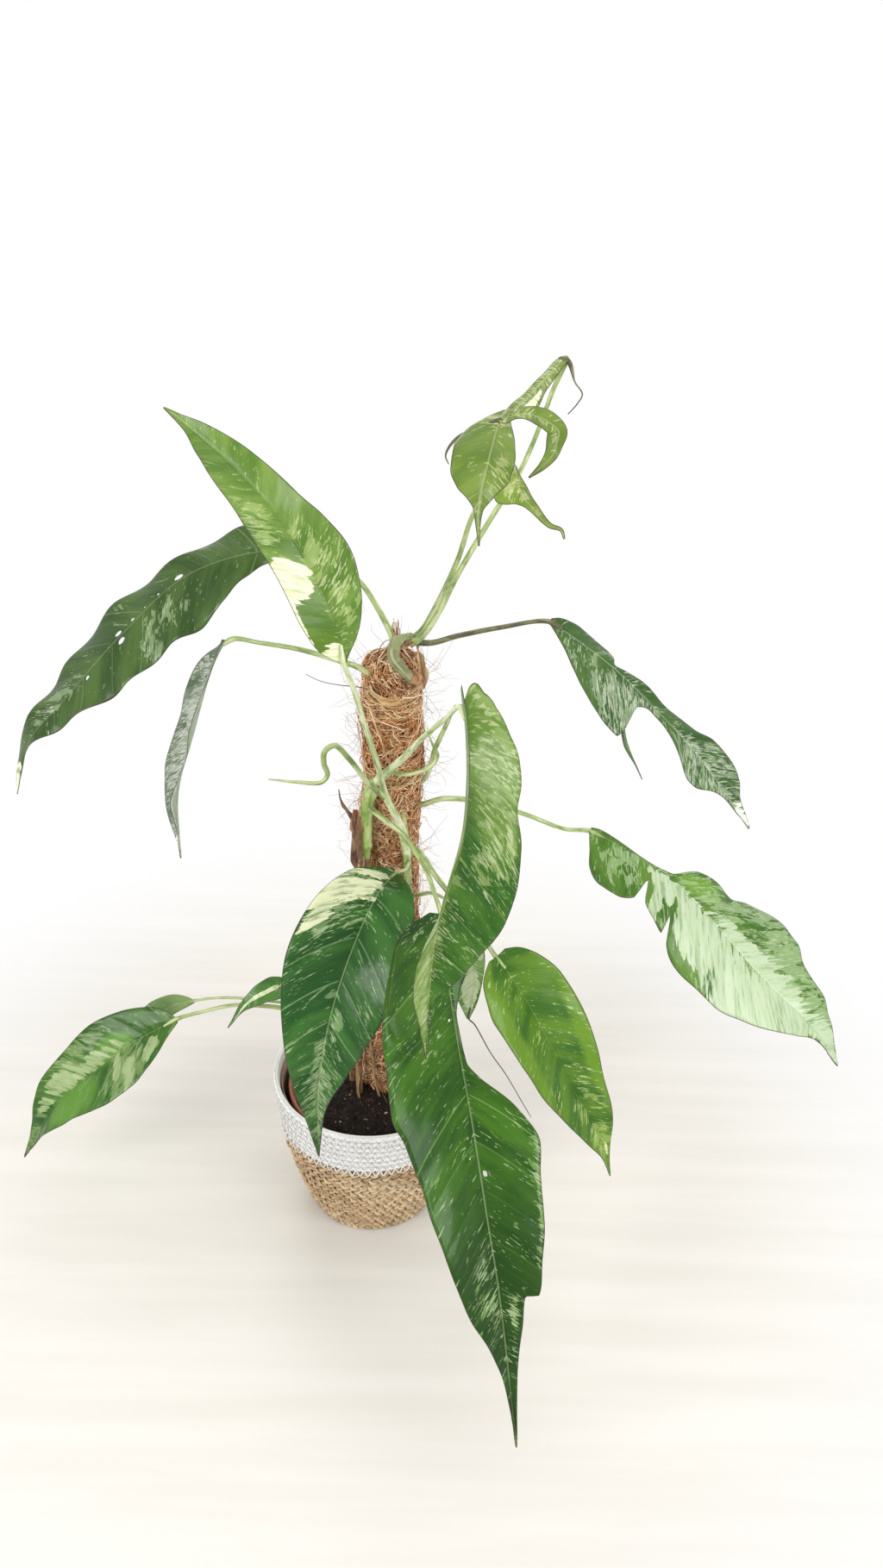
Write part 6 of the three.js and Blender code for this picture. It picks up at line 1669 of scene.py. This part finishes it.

# %% [markdown]
# ## Stitches at the seam
#
# A zigzag of white thread joins the cotton to the jute and shows as a row of small V shapes.
# Finer zigzags sew the cotton rows together, in a grey that paints their small shadows. Each is
# the mirror of the next, so they make a lattice of diamonds. It is the plait tree again, with one
# strand and a thin round profile.

# %% Zigzag stitches
stitches = grown("seam_stitches", PLAITS, dict(
    Crossings=78.0, Swing=2.5 * MM, Depth=0.0, Width=0.5 * MM, Thickness=0.5 * MM,
    Stray=1.2 * MM, Points=624, Material=COTTON),
    ring_guides("stitch_rings", [(basket_radius(SEAM) + 0.5, SEAM - 1.0)], strands=1))
add_detail(stitches)
lattice_rows = inside(0.15, *np.arange(SEAM + 4.6, RIM - 3, 3.7))
lattice = grown("lattice_stitches", PLAITS, dict(
    Crossings=84.0, Swing=1.8 * MM, Depth=0.0, Width=0.3 * MM, Thickness=0.4 * MM,
    Stray=0.8 * MM, Points=672, Material=STITCH_SHADE_GREY),
    ring_guides("lattice_rings", lattice_rows, strands=1, shift=math.pi))
add_detail(lattice)

# %% [markdown]
# ## Liner, nursery pot and soil
#
# Inside the basket a dark film keeps the jute dry, and the plant stands in its own clay-brown
# pot. Potting soil is near black, damp and crumbly, with bark, roots and a few white grains, so
# its surface gets noise and then a scatter of small crumbs.

# %% Liner and pot


def plain_material(name, base, other, scale, rough, depth):
    material, w, shader = new_material(name, specular=0.4)
    place = w.node("ShaderNodeTexCoord").outputs["Object"]
    broad, fine = w.noise(place, scale, 4.0), w.noise(place, scale * 12, 3.0)
    tint = w.mix(w.step(broad, 0.35, 0.65), colour(base), colour(other))
    rough = w.times_plus(fine, 0.25, rough - 0.12)
    dress(w, shader, tint, rough, fine, depth)
    return material


LINER_FILM = plain_material("liner_film", "#86705f", "#9d8573", 40.0, 0.4, 0.0004)
CLAY_PLASTIC = plain_material("clay_plastic", "#8f5a44", "#a36b52", 25.0, 0.5, 0.0002)
STAKE_WOOD = plain_material("stake_wood", "#b99a6c", "#8f7148", 60.0, 0.7, 0.0004)
liner = turned_piece("liner_film_bag", [
    (30, 5.4), (basket_radius(5) - 9, 5.4), *inside(5.8, 14, 40, SEAM, 110, 122),
    *inside(6.4, 122, 110, SEAM, 40, 14), (basket_radius(5) - 9.5, 6.2), (30, 6.2)], LINER_FILM)
take_over(liner, "basket_liner")
pot = turned_piece("clay_brown_pot", [
    (30, 6.6), (41, 6.6), (42, 7.6), (62.7, 107.5), (62.9, 108.8), (66.4, 109.2), (67, 110), (67, 115.2),
    (66.6, 116), (64.6, 116), (64.2, 115.2), (61.6, 107), (40.4, 8.4), (30, 8.4)], CLAY_PLASTIC)
take_over(pot, "nursery_pot")
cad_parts["pole_stake"].data.materials.clear()
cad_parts["pole_stake"].data.materials.append(STAKE_WOOD)

# %% Soil


def soil_tree():
    takes = [("Radius", "Float", 0.061), ("Height", "Float", 0.105), ("Crumbs", "Float", 60000.0),
             ("Seed", "Int", 3), ("Material", "Material", None), ("Grit", "Material", None)]
    tree, w, start, end = new_tree("potting_soil", "GeometryNodeTree", takes, [("Mesh", "Geometry")])
    # a square sheet, squeezed to a disc and made uneven
    side = w.times(start["Radius"], 2.0)
    sheet = w.geo("MeshGrid", {"Size X": side, "Size Y": side, "Vertices X": 130, "Vertices Y": 130})
    place = w.geo("InputPosition")
    x, y, _ = w.split(place)
    farthest = w.math("MAXIMUM", w.math("ABSOLUTE", x), w.math("ABSOLUTE", y))
    reach = w.node("ShaderNodeVectorMath", {0: place}, operation="LENGTH").outputs["Value"]
    round_place = w.scaled(place, w.math("DIVIDE", farthest, w.math("MAXIMUM", reach, 1e-6)))
    lumps = w.noise(place, 60.0, 5.0)
    height = w.times_plus(w.minus(lumps, 0.5), 7 * MM, start["Height"])
    uneven = w.moved(round_place, w.combine(0.0, 0.0, height))
    sheet = w.geo("SetPosition", {"Geometry": sheet, "Position": uneven})
    # crumbs of all sizes, thrown over it
    points = w.geo("DistributePointsOnFaces", {"Mesh": sheet, "Density": start["Crumbs"],
                                               "Seed": start["Seed"]})
    crumb = w.geo("MeshIcoSphere", {"Radius": 1.0, "Subdivisions": 1})
    size = w.random_vector((0.4 * MM, 0.3 * MM, 0.3 * MM), (2.4 * MM, 1.2 * MM, 1.0 * MM), 8)
    spin = w.random_vector((0, 0, 0), (6.28, 6.28, 6.28), 9)
    crumbs = w.geo("InstanceOnPoints", {"Points": points, "Instance": crumb, "Rotation": spin,
                                        "Scale": size})
    crumbs = w.keep(crumbs, "tone", w.random(0.0, 1.0, {"Seed": 10}), "INSTANCE")
    joined = w.node("GeometryNodeJoinGeometry")
    for part in (w.finished(sheet, start["Material"]), w.finished(crumbs, start["Grit"])):
        tree.links.new(part, joined.inputs[0])
    return give(tree, end, Mesh=joined.outputs[0])


def grit_material(name):
    material, w, shader = new_material(name, specular=0.35)
    tint = w.ramp(w.field("tone"), (0.0, "#15100d"), (1.0, "#e8e2d6"), (0.5, "#241b15"),
                  (0.88, "#3e2b1e"), (0.985, "#6e4d33"), (0.992, "#bfb39e"))
    place = w.node("ShaderNodeTexCoord").outputs["Object"]
    fine = w.noise(place, 700.0, 3.0)
    dress(w, shader, tint, w.times_plus(fine, 0.3, 0.6), fine, 0.0004)
    return material


SOIL = plain_material("potting_soil_dark", "#120d0b", "#251b15", 90.0, 0.85, 0.0012)
GRIT = grit_material("potting_soil_crumbs")
soil = grown("crumbly_soil", soil_tree(), dict(
    Radius=61.2 * MM, Height=104.5 * MM, Crumbs=230000.0, Seed=3, Material=SOIL, Grit=GRIT))
take_over(soil, "soil")

# %% [markdown]
# ## Floor and light
#
# The plant stands on a plain pale floor in soft, bright light. The floor fades out round the
# plant, so no horizon shows from any side. Large area lights give the leaves broad highlights.

# %% Floor, world and lights
FLOOR_RADIUS = 6           # m
FLOOR_FADE = (0.26, 0.6)   # m from the pot, between which the floor fades out


def add_floor():
    corners = 96
    turn = [i / corners * 2 * math.pi for i in range(corners)]
    points = [(FLOOR_RADIUS * math.cos(t), FLOOR_RADIUS * math.sin(t), 0.0) for t in turn]
    mesh = bpy.data.meshes.new("floor")
    mesh.from_pydata(points, [], [tuple(range(corners))])
    material, w, shader = new_material("pale_floor", specular=0.3)
    place = w.node("ShaderNodeTexCoord").outputs["Object"]
    reach = w.node("ShaderNodeVectorMath", {0: place}, operation="LENGTH").outputs["Value"]
    grain = w.noise(w.vector_math("MULTIPLY", place, (1.0, 12.0, 1.0)), 3.0, 4.0)
    tint = w.mix(w.step(grain, 0.3, 0.7), colour("#dedad2"), colour("#e5e1da"))
    dress(w, shader, tint, w.times_plus(grain, 0.1, 0.5), grain, 0.0002)
    w.tree.links.new(w.step(reach, *FLOOR_FADE, 1.0, 0.0), shader.inputs["Alpha"])
    mesh.materials.append(material)
    new_object("floor", mesh)


def add_light(name, place, target, size, power, tint=(1, 1, 1)):
    data = bpy.data.lights.new(name, "AREA")
    data.shape, data.size, data.energy, data.color = "DISK", size, power, tint
    light = new_object(name, data)
    light.location = place
    aim = Vector(target) - Vector(place)
    light.rotation_euler = aim.to_track_quat("-Z", "Y").to_euler()
    print(name, power, "W")


add_floor()
world = bpy.data.worlds.new("white_room")
world.use_nodes = True
sky = Wiring(world.node_tree)
seen = sky.node("ShaderNodeLightPath").outputs["Is Camera Ray"]
back = world.node_tree.nodes["Background"]
back.inputs["Color"].default_value = (1, 1, 1, 1)
world.node_tree.links.new(sky.times_plus(seen, 0.25, 0.75), back.inputs["Strength"])
bpy.context.scene.world = world
bpy.context.scene.view_settings.view_transform = "Standard"
add_light("window_left", (-1.5, -1.6, 1.3), (0, 0, 0.25), 1.3, 30, (1, 0.99, 0.97))
add_light("window_right", (1.6, -1.3, 1.1), (0, 0, 0.2), 1.4, 24, (0.97, 0.98, 1))
add_light("ceiling", (0.2, 0.5, 2.4), (0, 0, 0.3), 1.6, 4)
add_light("window_behind", (-0.5, 1.9, 1.8), (0, 0, 0.3), 1.3, 12)
